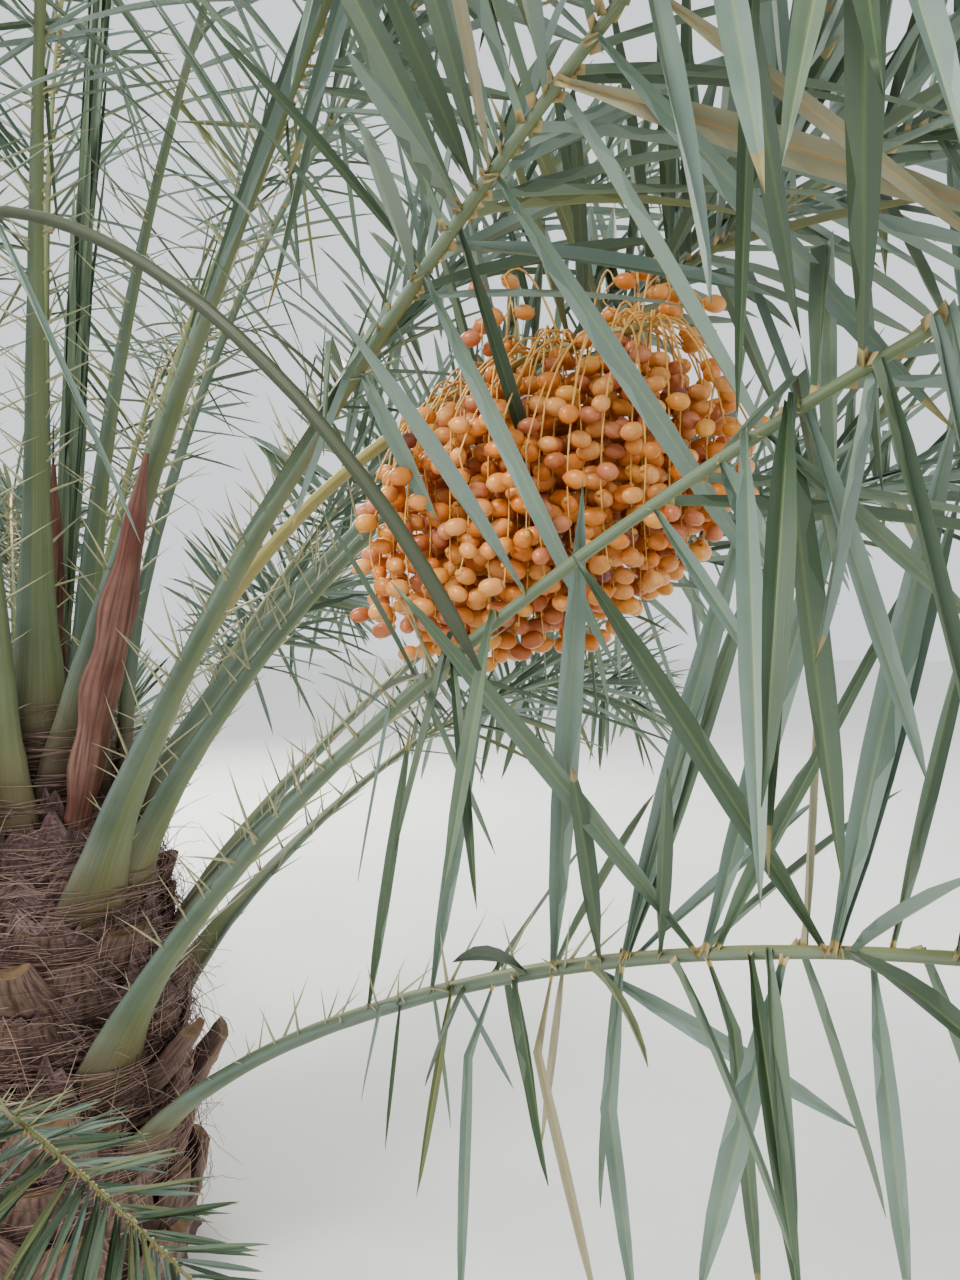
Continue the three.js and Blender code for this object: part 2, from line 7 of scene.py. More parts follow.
import bpy
import numpy as np
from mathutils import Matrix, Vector


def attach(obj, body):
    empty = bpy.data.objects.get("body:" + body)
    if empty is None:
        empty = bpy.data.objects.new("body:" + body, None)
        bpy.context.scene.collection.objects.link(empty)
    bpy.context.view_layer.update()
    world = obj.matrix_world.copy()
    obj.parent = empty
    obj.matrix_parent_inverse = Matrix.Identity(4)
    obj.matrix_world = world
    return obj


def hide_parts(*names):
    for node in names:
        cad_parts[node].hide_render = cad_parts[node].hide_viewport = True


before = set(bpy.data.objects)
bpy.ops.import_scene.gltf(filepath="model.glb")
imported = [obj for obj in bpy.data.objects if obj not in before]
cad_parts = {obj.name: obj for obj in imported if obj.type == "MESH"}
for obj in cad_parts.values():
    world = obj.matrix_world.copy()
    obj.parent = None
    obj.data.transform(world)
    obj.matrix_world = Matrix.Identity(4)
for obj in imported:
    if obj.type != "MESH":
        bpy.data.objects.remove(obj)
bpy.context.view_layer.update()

# Trunk: radius and height along its outline, from the flared foot to the growing tip
TRUNK_OUTLINE = [
    (0.300, 0),
    (0.262, 0.110),
    (0.238, 0.280),
    (0.230, 0.500),
    (0.205, 0.700),
    (0.165, 0.830),
    (0.100, 0.920),
]
TRUNK_TOP = 0.950

# Old leaf bases, cut short, in a spiral up the trunk
GOLDEN_ANGLE = 137.508
BOOT_COUNT = 26
BOOT_LOWEST = 0.060
BOOT_HIGHEST = 0.560
BOOT_WIDTH = 0.150
BOOT_THICKNESS = 0.058
BOOT_LENGTH = 0.185
BOOT_LENGTHS = (0.85, 1.15)
BOOT_RISES = (45, 55)
BOOT_TAPER = (1, 0.9, 0.62)

# Every limb starts inside the trunk
ROOT_DEPTH = 0.030
SHEATH_LENGTH = 0.230

# How a limb arches: it leaves the trunk steeper than its rise by the lift, which fades along it
LIFT = 30
LIFT_FADE = 0.200
STEEPEST = 87
BEND_POWER = 1.6
PATH_STEPS = 48

# Frond stalk and rib: width falls from the foot towards the tip, thickness grows in proportion
FULL_LENGTH = 2.900
FOOT_WIDTH = 0.112
RIB_TIP_WIDTH = 0.009
WIDTH_FADE = 0.560
THICKNESS_AT_FOOT = 0.45
THICKNESS_AT_TIP = 1
STALK_SHARE = 0.4

# Spines on the stalk, in groups on each edge
SPINE_SPACING = 0.074
SPINE_LENGTH = 0.100
SPINE_LENGTHS = (0.6, 1.2)
SPINE_THICKNESS = 0.0056
SPINE_LEANS = ((0.8, 0.5, 0.3), (0.45, 0.55, 0.75))

# Leaflets: angle from the rib at the first and last ones, and how far they stand above its plane.
# Each takes the longest of the length shares at which it clears the limbs around it.
LEAFLET_LENGTH = 0.480
LEAFLET_SWELL = (0.12, 0.9)
LEAFLET_SWELL_POWER = 0.7
SHORTEST_LEAFLETS = 0.35
LEAFLET_ANGLE_FIRST = 60
LEAFLET_ANGLE_LAST = 22
LEAFLET_ANGLE_POWER = 1.5
LEAFLET_STANCES = (14, 46, -16)
LEAFLET_SCATTER = 10.4
LEAFLET_SHARES = (1, 0.75, 0.5)
LEAFLET_WIDTH = 0.031
CLEARANCE = 0.006

# Fronds on the fruiting side: azimuth from +X, height of the foot, rise above the level there, bend
# from foot to tip, sideways sweep and length
FRONT_FRONDS = [
    dict(azimuth=-46, foot=0.590, rise=47, bend=36, sweep=4, length=2.900),
    dict(azimuth=-42, foot=0.300, rise=43, bend=43, sweep=0, length=2.900),
    dict(azimuth=-41, foot=0.855, rise=57, bend=38, sweep=-8, length=2.900),
    dict(azimuth=-20, foot=0.895, rise=82, bend=37, sweep=0, length=2.800),
    dict(azimuth=-72, foot=0.880, rise=82, bend=52, sweep=24, length=2.900),
    dict(azimuth=116, foot=0.865, rise=77, bend=30, sweep=-10, length=2.700),
    dict(azimuth=-93, foot=0.770, rise=80, bend=24, sweep=26, length=2.800),
    dict(azimuth=-10, foot=0.720, rise=50, bend=54, sweep=-5, length=2.850),
    dict(azimuth=-24, foot=0.610, rise=51, bend=62, sweep=-3, length=2.800),
    dict(azimuth=-98, foot=0.590, rise=65, bend=129, sweep=78, length=2.250),
    dict(azimuth=-28, foot=0.190, rise=30, bend=52, sweep=-16, length=2.600),
    dict(azimuth=-80, foot=0.300, rise=26, bend=78, sweep=70, length=1.050),
    dict(azimuth=6, foot=0.500, rise=42, bend=56, sweep=5, length=2.750),
]

# The other fronds fill the rest of the round, from the youngest and steepest to the oldest
BACK_FRONDS = 23
BACK_START = 22
BACK_SECTOR = 236
GOLDEN_SHARE = 0.618034
BACK_YOUNGEST = dict(foot=0.830, rise=77, bend=43, length=2.850)
BACK_OLDEST = dict(foot=0.170, rise=24, bend=62, length=2.600)
BACK_SWEEP = 8

# Spear: the newest frond, still folded, at the middle of the crown
SPEAR = dict(azimuth=60, foot=0.880, start=0.020, rise=87, bend=3, length=1.900, lift=0)
SPEAR_WIDTH = 0.044
SPEAR_TIP_WIDTH = 0.008

# Dry spathes: the woody sheaths that the flower stalks came out of
SPATHES = [
    dict(azimuth=-46, foot=0.790, rise=66, bend=0, length=0.780, lift=0),
    dict(azimuth=-52, foot=0.915, start=0.052, rise=87, bend=0, length=0.620, lift=0),
]
SPATHE_WIDTHS = (0.074, 0.054)
SPATHE_THICKNESS = 0.012
SPATHE_SWELL = (0.2, 0.96)

# Date bunch: an arched stalk, with strands of dates along its last part
FRUIT_STALK = dict(azimuth=-35, foot=0.760, rise=59, bend=57, sweep=10, length=1.460, lift=0)
FRUIT_STALK_WIDTH = 0.042
FRUIT_STALK_TIP_WIDTH = 0.014
FRUIT_STALK_THICKNESS = 0.016
STRANDS_START = 0.7
STRAND_THICKNESS = 0.0032
DATE_LENGTH = 0.0295
DATE_WIDTH = 0.0230
DATE_DROOP = 0.1

# The front frond that arches over and comes down across the stalks
WEAK_FROND = 9

# Parts of the crown whose leaflets are joined, by the fronds' numbers
LEAFLET_PARTS = {"front": range(0, 13), "young": range(13, 25), "old": range(25, 36)}

# Starts of the repeatable draws that the solids use too
SWEEP_SEED = 40
BOOT_RISE_SEED = 300
BOOT_LENGTH_SEED = 320

# Starts of the scene's own draws and noises
LEAFLET_SEED = 5
SPEAR_SEED = 8
SPINE_SEED = 11
FRUIT_SEED = 21
BARK_SEED = 31
COLLAR_SEED = 45
SPATHE_SEED = 70
FIBRE_SEED = 77
FOOT_FIBRE_SEED = 78
OLD_BASE_SEED = 90
WORN_BASE_SEED = 95

# The photo's frame, and the camera that saw the palm in it
PHOTO_WIDTH = 960
PHOTO_HEIGHT = 1280
FOCAL_PIXELS = 962
SENSOR = 36
CAMERA_PLACE = (0.86, -1.9, 1.2)


def mix(low, high, share):
    return low + (high - low) * share


def unit(vectors):
    return vectors / np.linalg.norm(vectors, axis=-1, keepdims=True)


def square_to(vectors, ahead):
    """Unit vectors like the given ones, turned so that they are square to ahead."""
    return unit(vectors - ahead * (vectors * ahead).sum(-1, keepdims=True))


def round_angles(corners):
    return 2 * np.pi * np.arange(corners) / corners


def on_circles(radius, angle, height):
    """Points at a radius, an angle and a height about the trunk's axis."""
    return np.stack(
        np.broadcast_arrays(radius * np.cos(angle), radius * np.sin(angle), height), axis=-1
    )


def bulged(waves, power):
    """Half a cosine or sine: powers below 1 make a round section squarer."""
    return 0.5 * np.sign(waves) * np.abs(waves) ** power


def chance(number):
    """A repeatable number from 0 to 1 for each number given."""
    return np.sin(number * 12.9898 + 4.1414) * 43758.5453 % 1


def trunk_radius(height):
    radii, heights = zip(*TRUNK_OUTLINE)
    return np.interp(height, heights, radii)


class Noise:
    """Smooth repeatable noise of about -1 to 1: waves of about one length in random directions."""

    def __init__(self, seed, wavelength, waves=14):
        draw = np.random.default_rng(seed)
        lengths = wavelength * draw.uniform(0.6, 1.7, (waves, 1))
        self.waves = unit(draw.normal(size=(waves, 3))) * 2 * np.pi / lengths
        self.phases = draw.uniform(0, 2 * np.pi, waves)

    def __call__(self, points):
        waves = np.sin(points @ self.waves.T + self.phases)
        return waves.sum(axis=-1) / math.sqrt(2 * len(self.phases))


# Limbs


class Limb:
    """A limb's path by the solids' rule. side is level, up is square to the limb."""

    def __init__(self, size_at, azimuth, foot, rise, bend, length, sweep=0, lift=LIFT, start=None):
        self.size_at = size_at
        self.azimuth = azimuth
        self.foot = foot
        self.length = length
        share = np.linspace(0, 1, PATH_STEPS + 1)
        turn = np.radians(azimuth + sweep * share)
        steep = np.minimum(STEEPEST, rise + lift * np.exp(-share * length / LIFT_FADE))
        tilt = np.radians(steep - bend * share**BEND_POWER)
        flat = np.cos(tilt)
        self.ahead = np.stack([flat * np.cos(turn), flat * np.sin(turn), np.sin(tilt)], axis=1)
        self.side = np.stack([-np.sin(turn), np.cos(turn), np.zeros_like(turn)], axis=1)
        self.up = np.cross(self.ahead, self.side)
        reach = trunk_radius(foot) - ROOT_DEPTH if start is None else start
        root = [reach * math.cos(turn[0]), reach * math.sin(turn[0]), foot]
        steps = self.ahead[:-1] * length / PATH_STEPS
        self.points = root + np.concatenate([np.zeros((1, 3)), np.cumsum(steps, axis=0)])

    def at(self, along):
        """Places along the limb: point, ahead, side and up, with the width and thickness there."""
        steps = along / self.length * PATH_STEPS
        index = np.clip(steps.astype(int), 0, PATH_STEPS - 1)
        share = (steps - index)[:, None]

        def between(track):
            return mix(track[index], track[index + 1], share)

        width, thickness = self.size_at(self, along)
        return SimpleNamespace(
            point=between(self.points),
            ahead=unit(between(self.ahead)),
            side=unit(between(self.side)),
            up=unit(between(self.up)),
            width=width,
            thickness=thickness,
        )


def frond_size(frond, along):
    scale = frond.length / FULL_LENGTH
    width = RIB_TIP_WIDTH + (FOOT_WIDTH - RIB_TIP_WIDTH) * np.exp(-along / WIDTH_FADE / scale)
    proportion = mix(THICKNESS_AT_FOOT, THICKNESS_AT_TIP, along / frond.length)
    return width * scale, width * scale * proportion


def spear_size(spear, along):
    width = mix(SPEAR_WIDTH, SPEAR_TIP_WIDTH, along / spear.length)
    return width, width


def spathe_size(width):
    def size_at(spathe, along):
        swell = np.sin(np.pi * mix(*SPATHE_SWELL, along / spathe.length))
        return width * swell, np.full_like(swell, SPATHE_THICKNESS)

    return size_at


def fruit_stalk_size(fruit, along):
    width = mix(FRUIT_STALK_WIDTH, FRUIT_STALK_TIP_WIDTH, along / fruit.length)
    return width, np.minimum(width, FRUIT_STALK_THICKNESS)


def boot_size(boot, along):
    taper = np.interp(along / boot.length, np.linspace(0, 1, len(BOOT_TAPER)), BOOT_TAPER)
    return BOOT_WIDTH * taper, BOOT_THICKNESS * taper


def make_fronds():
    back = []
    for number in range(BACK_FRONDS):
        age = number / (BACK_FRONDS - 1)
        sizes = {key: mix(BACK_YOUNGEST[key], BACK_OLDEST[key], age) for key in BACK_YOUNGEST}
        sizes["azimuth"] = BACK_START + BACK_SECTOR * (number * GOLDEN_SHARE % 1)
        sizes["sweep"] = BACK_SWEEP * (2 * chance(number + SWEEP_SEED) - 1)
        back.append(sizes)
    return [Limb(frond_size, **sizes) for sizes in FRONT_FRONDS + back]


def make_boots():
    boots = []
    for number in range(BOOT_COUNT):
        rise = mix(*BOOT_RISES, chance(number + BOOT_RISE_SEED))
        length = BOOT_LENGTH * mix(*BOOT_LENGTHS, chance(number + BOOT_LENGTH_SEED))
        foot = mix(BOOT_LOWEST, BOOT_HIGHEST, number / (BOOT_COUNT - 1))
        azimuth = number * GOLDEN_ANGLE
        boots.append(Limb(boot_size, azimuth, foot, rise, bend=0, length=length, lift=0))
    return boots


# Room between limbs


class Rods:
    """Limbs in place, as straight tapering rods that finer growth keeps clear of."""

    FIELDS = ("owners", "starts", "ends", "radii", "tip_radii")

    def __init__(self):
        self.owners = np.zeros(0, int)
        self.starts = self.ends = np.zeros((0, 3))
        self.radii = self.tip_radii = np.zeros(0)

    def add(self, owner, points, radii):
        owners = np.full(len(points) - 1, owner)
        added = (owners, points[:-1], points[1:], radii[:-1], radii[1:])
        for name, values in zip(self.FIELDS, added):
            setattr(self, name, np.concatenate([getattr(self, name), values]))

    def add_limb(self, owner, limb, start, end, steps):
        stations = limb.at(np.linspace(start, end, steps + 1))
        self.add(owner, stations.point, stations.width / 2)

    def air(self, owner, starts, ends, radii, tip_radii):
        """The air from each new rod to the nearest one of another owner."""
        # s and t are how far along the new and the other rod the two come closest
        others = self.owners != owner
        u = (ends - starts)[:, None]
        v = (self.ends - self.starts)[others][None]
        w = starts[:, None] - self.starts[others][None]
        a, b, c = (u * u).sum(-1), (u * v).sum(-1), (v * v).sum(-1)
        d, e = (u * w).sum(-1), (v * w).sum(-1)
        spread = a * c - b * b
        first = np.where(spread > 1e-9 * a * c, (b * e - c * d) / np.maximum(spread, 1e-18), 0)
        t = np.clip((b * np.clip(first, 0, 1) + e) / c, 0, 1)
        s = np.clip((b * t - d) / a, 0, 1)
        distance = np.linalg.norm(w + s[..., None] * u - t[..., None] * v, axis=-1)
        own = mix(radii[:, None], tip_radii[:, None], s)
        other = mix(self.radii[others][None], self.tip_radii[others][None], t)
        return (distance - own - other).min(axis=1)

    def clear(self, owner, starts, ends, radii, tip_radii):
        lowest = np.minimum(starts[:, 2] - radii, ends[:, 2] - tip_radii)
        air = self.air(owner, starts, ends, radii, tip_radii)
        return (lowest >= CLEARANCE) & (air > CLEARANCE)


TRUNK_OWNER = -1
SPEAR_OWNER = -2
SPATHE_OWNER = -3
FRUIT_OWNER = -4


# Meshes from arrays


class Surface:
    """Closed tubes gathered into one mesh, with UVs and a material slot for each face."""

    def __init__(self):
        self.points = []
        self.corner_numbers = []
        self.faces = []
        self.uvs = []
        self.slots = []
        self.count = 0

    def add_tubes(self, rings, slots=0, u_from=None, u_to=None, v=None):
        """Tubes from an array of tubes, rings, corners and coordinates."""
        tubes, stations, corners = rings.shape[:3]
        numbers = self.count + np.arange(tubes * stations * corners)
        numbers = numbers.reshape(tubes, stations, corners)
        after = np.roll(numbers, -1, axis=2)
        quads = np.stack([numbers[:, :-1], after[:, :-1], after[:, 1:], numbers[:, 1:]], axis=-1)
        u_from = np.arange(corners) / corners if u_from is None else np.asarray(u_from)
        u_to = (np.arange(corners) + 1) / corners if u_to is None else np.asarray(u_to)
        v = np.linspace(0, 1, stations) if v is None else v
        v = np.broadcast_to(v, (tubes, stations))
        shape = quads.shape[:3]
        us = np.stack([u_from, u_to, u_to, u_from], axis=-1)[None, None]
        vs = np.stack([v[:, :-1], v[:, :-1], v[:, 1:], v[:, 1:]], axis=-1)[:, :, None]
        uv = np.stack([np.broadcast_to(us, shape + (4,)), np.broadcast_to(vs, shape + (4,))], -1)
        slots = np.broadcast_to(slots, shape)
        self._add_faces(quads.reshape(-1, 4), uv.reshape(-1, 4, 2), slots.reshape(-1))
        for ring, order in ((0, slice(None, None, -1)), (stations - 1, slice(None))):
            caps = numbers[:, ring, order]
            cap_uv = np.stack([np.broadcast_to(u_from[order], caps.shape)] * 2, axis=-1).copy()
            cap_uv[..., 1] = v[:, ring, None]
            self._add_faces(caps, cap_uv, slots[:, min(ring, stations - 2), 0])
        self.points.append(rings.reshape(-1, 3))
        self.corner_numbers.append(np.tile(np.arange(corners), tubes * stations))
        self.count += tubes * stations * corners

    def add_band(self, rings):
        """A closed band: its rings run out over one wall and back over the other."""
        rows, columns = rings.shape[:2]
        numbers = self.count + np.arange(rows * columns).reshape(rows, columns)
        after = np.roll(numbers, -1, axis=1)
        up = np.roll(numbers, -1, axis=0)
        up_after = np.roll(after, -1, axis=0)
        quads = np.stack([numbers, after, up_after, up], axis=-1).reshape(-1, 4)
        u = np.arange(columns) / columns
        v = np.abs(np.linspace(-1, 1, rows + 1))
        us = np.stack([u, u + 1 / columns, u + 1 / columns, u], axis=-1)[None]
        vs = np.stack([v[:-1], v[:-1], v[1:], v[1:]], axis=-1)[:, None]
        shape = (rows, columns, 4)
        uv = np.stack([np.broadcast_to(us, shape), np.broadcast_to(vs, shape)], -1)
        self._add_faces(quads, uv.reshape(-1, 4, 2), np.zeros(len(quads), int))
        self.points.append(rings.reshape(-1, 3))
        self.corner_numbers.append(np.zeros(rows * columns, int))
        self.count += rows * columns

    def _add_faces(self, faces, uv, slots):
        self.faces.append(faces)
        self.uvs.append(uv)
        self.slots.append(slots)

    def make(self, name, materials, sharp_corners=()):
        """The mesh object. Lines along the tubes at the given corners are sharp."""
        mesh = bpy.data.meshes.new(name)
        points = np.concatenate(self.points)
        sizes = np.concatenate([np.full(len(faces), faces.shape[1]) for faces in self.faces])
        corners = np.concatenate([faces.reshape(-1) for faces in self.faces])
        mesh.vertices.add(len(points))
        mesh.vertices.foreach_set("co", points.reshape(-1))
        mesh.loops.add(len(corners))
        mesh.loops.foreach_set("vertex_index", corners)
        mesh.polygons.add(len(sizes))
        mesh.polygons.foreach_set("loop_start", np.concatenate([[0], np.cumsum(sizes)[:-1]]))
        mesh.polygons.foreach_set("material_index", np.concatenate(self.slots))
        mesh.update(calc_edges=True)
        uv_map = mesh.uv_layers.new(name="UVMap")
        uv = np.concatenate([uv.reshape(-1, 2) for uv in self.uvs])
        uv_map.data.foreach_set("uv", uv.reshape(-1))
        if len(sharp_corners):
            ends = np.zeros(2 * len(mesh.edges), int)
            mesh.edges.foreach_get("vertices", ends)
            numbers = np.concatenate(self.corner_numbers)[ends.reshape(-1, 2)]
            sharp = (numbers[:, 0] == numbers[:, 1]) & np.isin(numbers[:, 0], sharp_corners)
            mark = mesh.attributes.new("sharp_edge", "BOOLEAN", "EDGE")
            mark.data.foreach_set("value", sharp)
        for material in materials:
            mesh.materials.append(material)
        return add_object(name, mesh)


def make_tube(name, rings, materials, v=None):
    surface = Surface()
    surface.add_tubes(rings[None], v=v)
    return surface.make(name, materials)


def add_object(name, data):
    item = bpy.data.objects.new(name, data)
    bpy.context.scene.collection.objects.link(item)
    return item


def place_sections(stations, across, above):
    """Rings of points from sections given as shares of the width and thickness at each station."""
    sideways = (across * stations.width[:, None])[..., None] * stations.side[:, None]
    upwards = (above * stations.thickness[:, None])[..., None] * stations.up[:, None]
    return stations.point[:, None] + sideways + upwards


def on_palm(piece, slot, *nodes):
    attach(piece, "root")
    if nodes:
        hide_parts(*nodes)
    return piece


# Geometry Nodes


def feed(tree, node, values):
    """Links those values that are outputs of nodes to the node's sockets, and sets the others."""
    for name, value in values.items():
        if isinstance(value, bpy.types.NodeSocket):
            tree.links.new(value, node.inputs[name])
        else:
            node.inputs[name].default_value = value


def add_node(tree, kind, settings=(), values=()):
    """Adds a node with its settings, and fills the sockets that values names."""
    node = tree.nodes.new(kind)
    for name, value in dict(settings).items():
        setattr(node, name, value)
    feed(tree, node, dict(values))
    return node


def new_geometry_tree(name, inputs):
    tree = bpy.data.node_groups.new(name, "GeometryNodeTree")
    tree.interface.new_socket("Geometry", in_out="INPUT", socket_type="NodeSocketGeometry")
    for label, kind in inputs.items():
        tree.interface.new_socket(label, in_out="INPUT", socket_type=kind)
    tree.interface.new_socket("Geometry", in_out="OUTPUT", socket_type="NodeSocketGeometry")
    return tree, tree.nodes.new("NodeGroupInput").outputs


def close_geometry_tree(tree, geometry, material):
    realized = add_node(tree, "GeometryNodeRealizeInstances", values={"Geometry": geometry})
    painted = add_node(
        tree,
        "GeometryNodeSetMaterial",
        values={"Geometry": realized.outputs["Geometry"], "Material": material},
    )
    output = tree.nodes.new("NodeGroupOutput")
    tree.links.new(painted.outputs["Geometry"], output.inputs["Geometry"])


def named_attribute(tree, name, kind):
    node = add_node(tree, "GeometryNodeInputNamedAttribute", {"data_type": kind}, {"Name": name})
    return node.outputs["Attribute"]


def thread_tree():
    """Makes a round thread along each run of loose edges, as thick as its points say."""
    tree, given = new_geometry_tree(
        "threads_on_edges", {"Sides": "NodeSocketInt", "Material": "NodeSocketMaterial"}
    )
    radius = named_attribute(tree, "thread_radius", "FLOAT")
    lines = add_node(tree, "GeometryNodeMeshToCurve", values={"Mesh": given["Geometry"]})
    sized = add_node(
        tree,
        "GeometryNodeSetCurveRadius",
        values={"Curve": lines.outputs["Curve"], "Radius": radius},
    )
    circle = add_node(
        tree, "GeometryNodeCurvePrimitiveCircle", values={"Resolution": given["Sides"]}
    )
    circle.inputs["Radius"].default_value = 1
    tube = add_node(
        tree,
        "GeometryNodeCurveToMesh",
        values={
            "Curve": sized.outputs["Curve"],
            "Profile Curve": circle.outputs["Curve"],
            "Fill Caps": True,
        },
    )
    if "Scale" in tube.inputs:
        tree.links.new(radius, tube.inputs["Scale"])
    close_geometry_tree(tree, tube.outputs["Mesh"], given["Material"])
    return tree


def placing_tree():
    """Sets a copy of a pattern on each point, along its direction, spun and sized as it says."""
    tree, given = new_geometry_tree(
        "pieces_on_points", {"Pattern": "NodeSocketObject", "Material": "NodeSocketMaterial"}
    )
    pattern = add_node(tree, "GeometryNodeObjectInfo", values={"Object": given["Pattern"]})
    aligned = add_node(
        tree,
        "FunctionNodeAlignRotationToVector",
        {"axis": "Z"},
        {"Vector": named_attribute(tree, "direction", "FLOAT_VECTOR")},
    )
    spin = add_node(
        tree,
        "FunctionNodeAxisAngleToRotation",
        values={"Axis": (0, 0, 1), "Angle": named_attribute(tree, "spin", "FLOAT")},
    )
    turned = add_node(
        tree,
        "FunctionNodeRotateRotation",
        {"rotation_space": "LOCAL"},
        {"Rotation": aligned.outputs["Rotation"], "Rotate By": spin.outputs["Rotation"]},
    )
    placed = add_node(
        tree,
        "GeometryNodeInstanceOnPoints",
        values={
            "Points": given["Geometry"],
            "Instance": pattern.outputs["Geometry"],
            "Rotation": turned.outputs["Rotation"],
            "Scale": named_attribute(tree, "size", "FLOAT_VECTOR"),
        },
    )
    close_geometry_tree(tree, placed.outputs["Instances"], given["Material"])
    return tree


def grow(name, mesh, tree, **values):
    """What a tree makes of a mesh, as a plain mesh object."""
    holder = add_object(name + "_start", mesh)
    modifier = holder.modifiers.new("growth", "NODES")
    modifier.node_group = tree
    for socket in tree.interface.items_tree:
        if socket.in_out == "INPUT" and socket.name in values:
            modifier[socket.identifier] = values[socket.name]
    depsgraph = bpy.context.evaluated_depsgraph_get()
    grown = bpy.data.meshes.new_from_object(holder.evaluated_get(depsgraph), depsgraph=depsgraph)
    holder.modifiers.remove(modifier)
    bpy.data.objects.remove(holder)
    grown.name = name
    grown.shade_smooth()
    return add_object(name, grown)


def loose_points(name, points, **measures):
    """A mesh of points with an attribute for each measure, of one number or three a point."""
    mesh = bpy.data.meshes.new(name)
    mesh.vertices.add(points.size // 3)
    mesh.vertices.foreach_set("co", points.reshape(-1))
    for label, values in measures.items():
        vectors = values.shape == points.shape
        attribute = mesh.attributes.new(label, "FLOAT_VECTOR" if vectors else "FLOAT", "POINT")
        attribute.data.foreach_set("vector" if vectors else "value", values.reshape(-1))
    return mesh


def grow_threads(name, paths, radii, sides, material):
    """Threads along paths, an array of threads, points and coordinates."""
    threads, steps = paths.shape[:2]
    numbers = np.arange(threads * steps).reshape(threads, steps)
    edges = np.stack([numbers[:, :-1], numbers[:, 1:]], axis=-1).reshape(-1, 2)
    radii = np.broadcast_to(radii, (threads, steps))
    mesh = loose_points(name + "_paths", paths, thread_radius=radii)
    mesh.edges.add(len(edges))
    mesh.edges.foreach_set("vertices", edges.reshape(-1))
    return grow(name, mesh, THREAD_TREE, Sides=sides, Material=material)


def grow_on_points(name, points, directions, sizes, spins, pattern, material):
    """Copies of a pattern that stands on the origin along +Z, one on each point."""
    mesh = loose_points(name + "_points", points, direction=directions, size=sizes, spin=spins)
    return grow(name, mesh, PLACING_TREE, Pattern=pattern, Material=material)


def turned_pattern(name, profile, sides, bow=0):
    """A closed shape turned round +Z from radii and heights. bow leans it over towards +X."""
    radii, heights = np.array(profile, float).T[..., None]
    rings = on_circles(radii, round_angles(sides), heights)
    rings[..., 0] += bow * heights**2
    return make_tube(name, rings, [])


THREAD_TREE = thread_tree()
PLACING_TREE = placing_tree()


# Finishes


def colour(red, green, blue):
    """The linear colour of the usual 0 to 255 values."""
    values = np.array([red, green, blue]) / 255
    linear = np.where(values <= 0.04045, values / 12.92, ((values + 0.055) / 1.055) ** 2.4)
    return (*linear.tolist(), 1)


def new_shader_group(name, inputs, outputs):
    group = bpy.data.node_groups.new(name, "ShaderNodeTree")
    for label, (kind, value) in inputs.items():
        socket = group.interface.new_socket(label, in_out="INPUT", socket_type=kind)
        socket.default_value = value
    for label, kind in outputs.items():
        group.interface.new_socket(label, in_out="OUTPUT", socket_type=kind)
    return group, group.nodes.new("NodeGroupInput").outputs


def close_shader_group(group, results):
    output = group.nodes.new("NodeGroupOutput")
    for label, socket in results.items():
        group.links.new(socket, output.inputs[label])


def mix_colours(tree, factor, first, second):
    values = {0: factor, 6: first, 7: second}
    return add_node(tree, "ShaderNodeMix", {"data_type": "RGBA"}, values).outputs[2]


def calculate(tree, operation, first, second=0.0, clamp=False):
    settings = {"operation": operation, "use_clamp": clamp}
    return add_node(tree, "ShaderNodeMath", settings, {0: first, 1: second}).outputs[0]


def ramp_value(tree, value, low, high, low_to=0.0, high_to=1.0):
    values = {"Value": value, "From Min": low, "From Max": high}
    values |= {"To Min": low_to, "To Max": high_to}
    return add_node(tree, "ShaderNodeMapRange", values=values).outputs["Result"]


def away_from(tree, value, middle):
    return calculate(tree, "ABSOLUTE", calculate(tree, "SUBTRACT", value, middle))


def noise_texture(tree, place, scale, detail):
    values = {"Vector": place, "Scale": scale, "Detail": detail}
    return add_node(tree, "ShaderNodeTexNoise", values=values).outputs["Fac"]


def uv_parts(tree):
    """The surface's U, which runs across or around a piece, and V, which runs along it."""
    uv = add_node(tree, "ShaderNodeUVMap", {"uv_map": "UVMap"}).outputs["UV"]
    parts = add_node(tree, "ShaderNodeSeparateXYZ", values={"Vector": uv})
    return parts.outputs["X"], parts.outputs["Y"]


FLOAT = "NodeSocketFloat"
COLOUR = "NodeSocketColor"
WHITE = (1, 1, 1, 1)

# Where each noise starts to show and where it shows in full
PATCH_EDGE = (0.38, 0.66)
MOTTLE_EDGE = (0.42, 0.7)
GRAIN_EDGE = (0.4, 0.64)
# The mottle is this much finer than the patches, and darkens to this share
MOTTLE_FINENESS = 11
MOTTLE_SHADE = 0.55


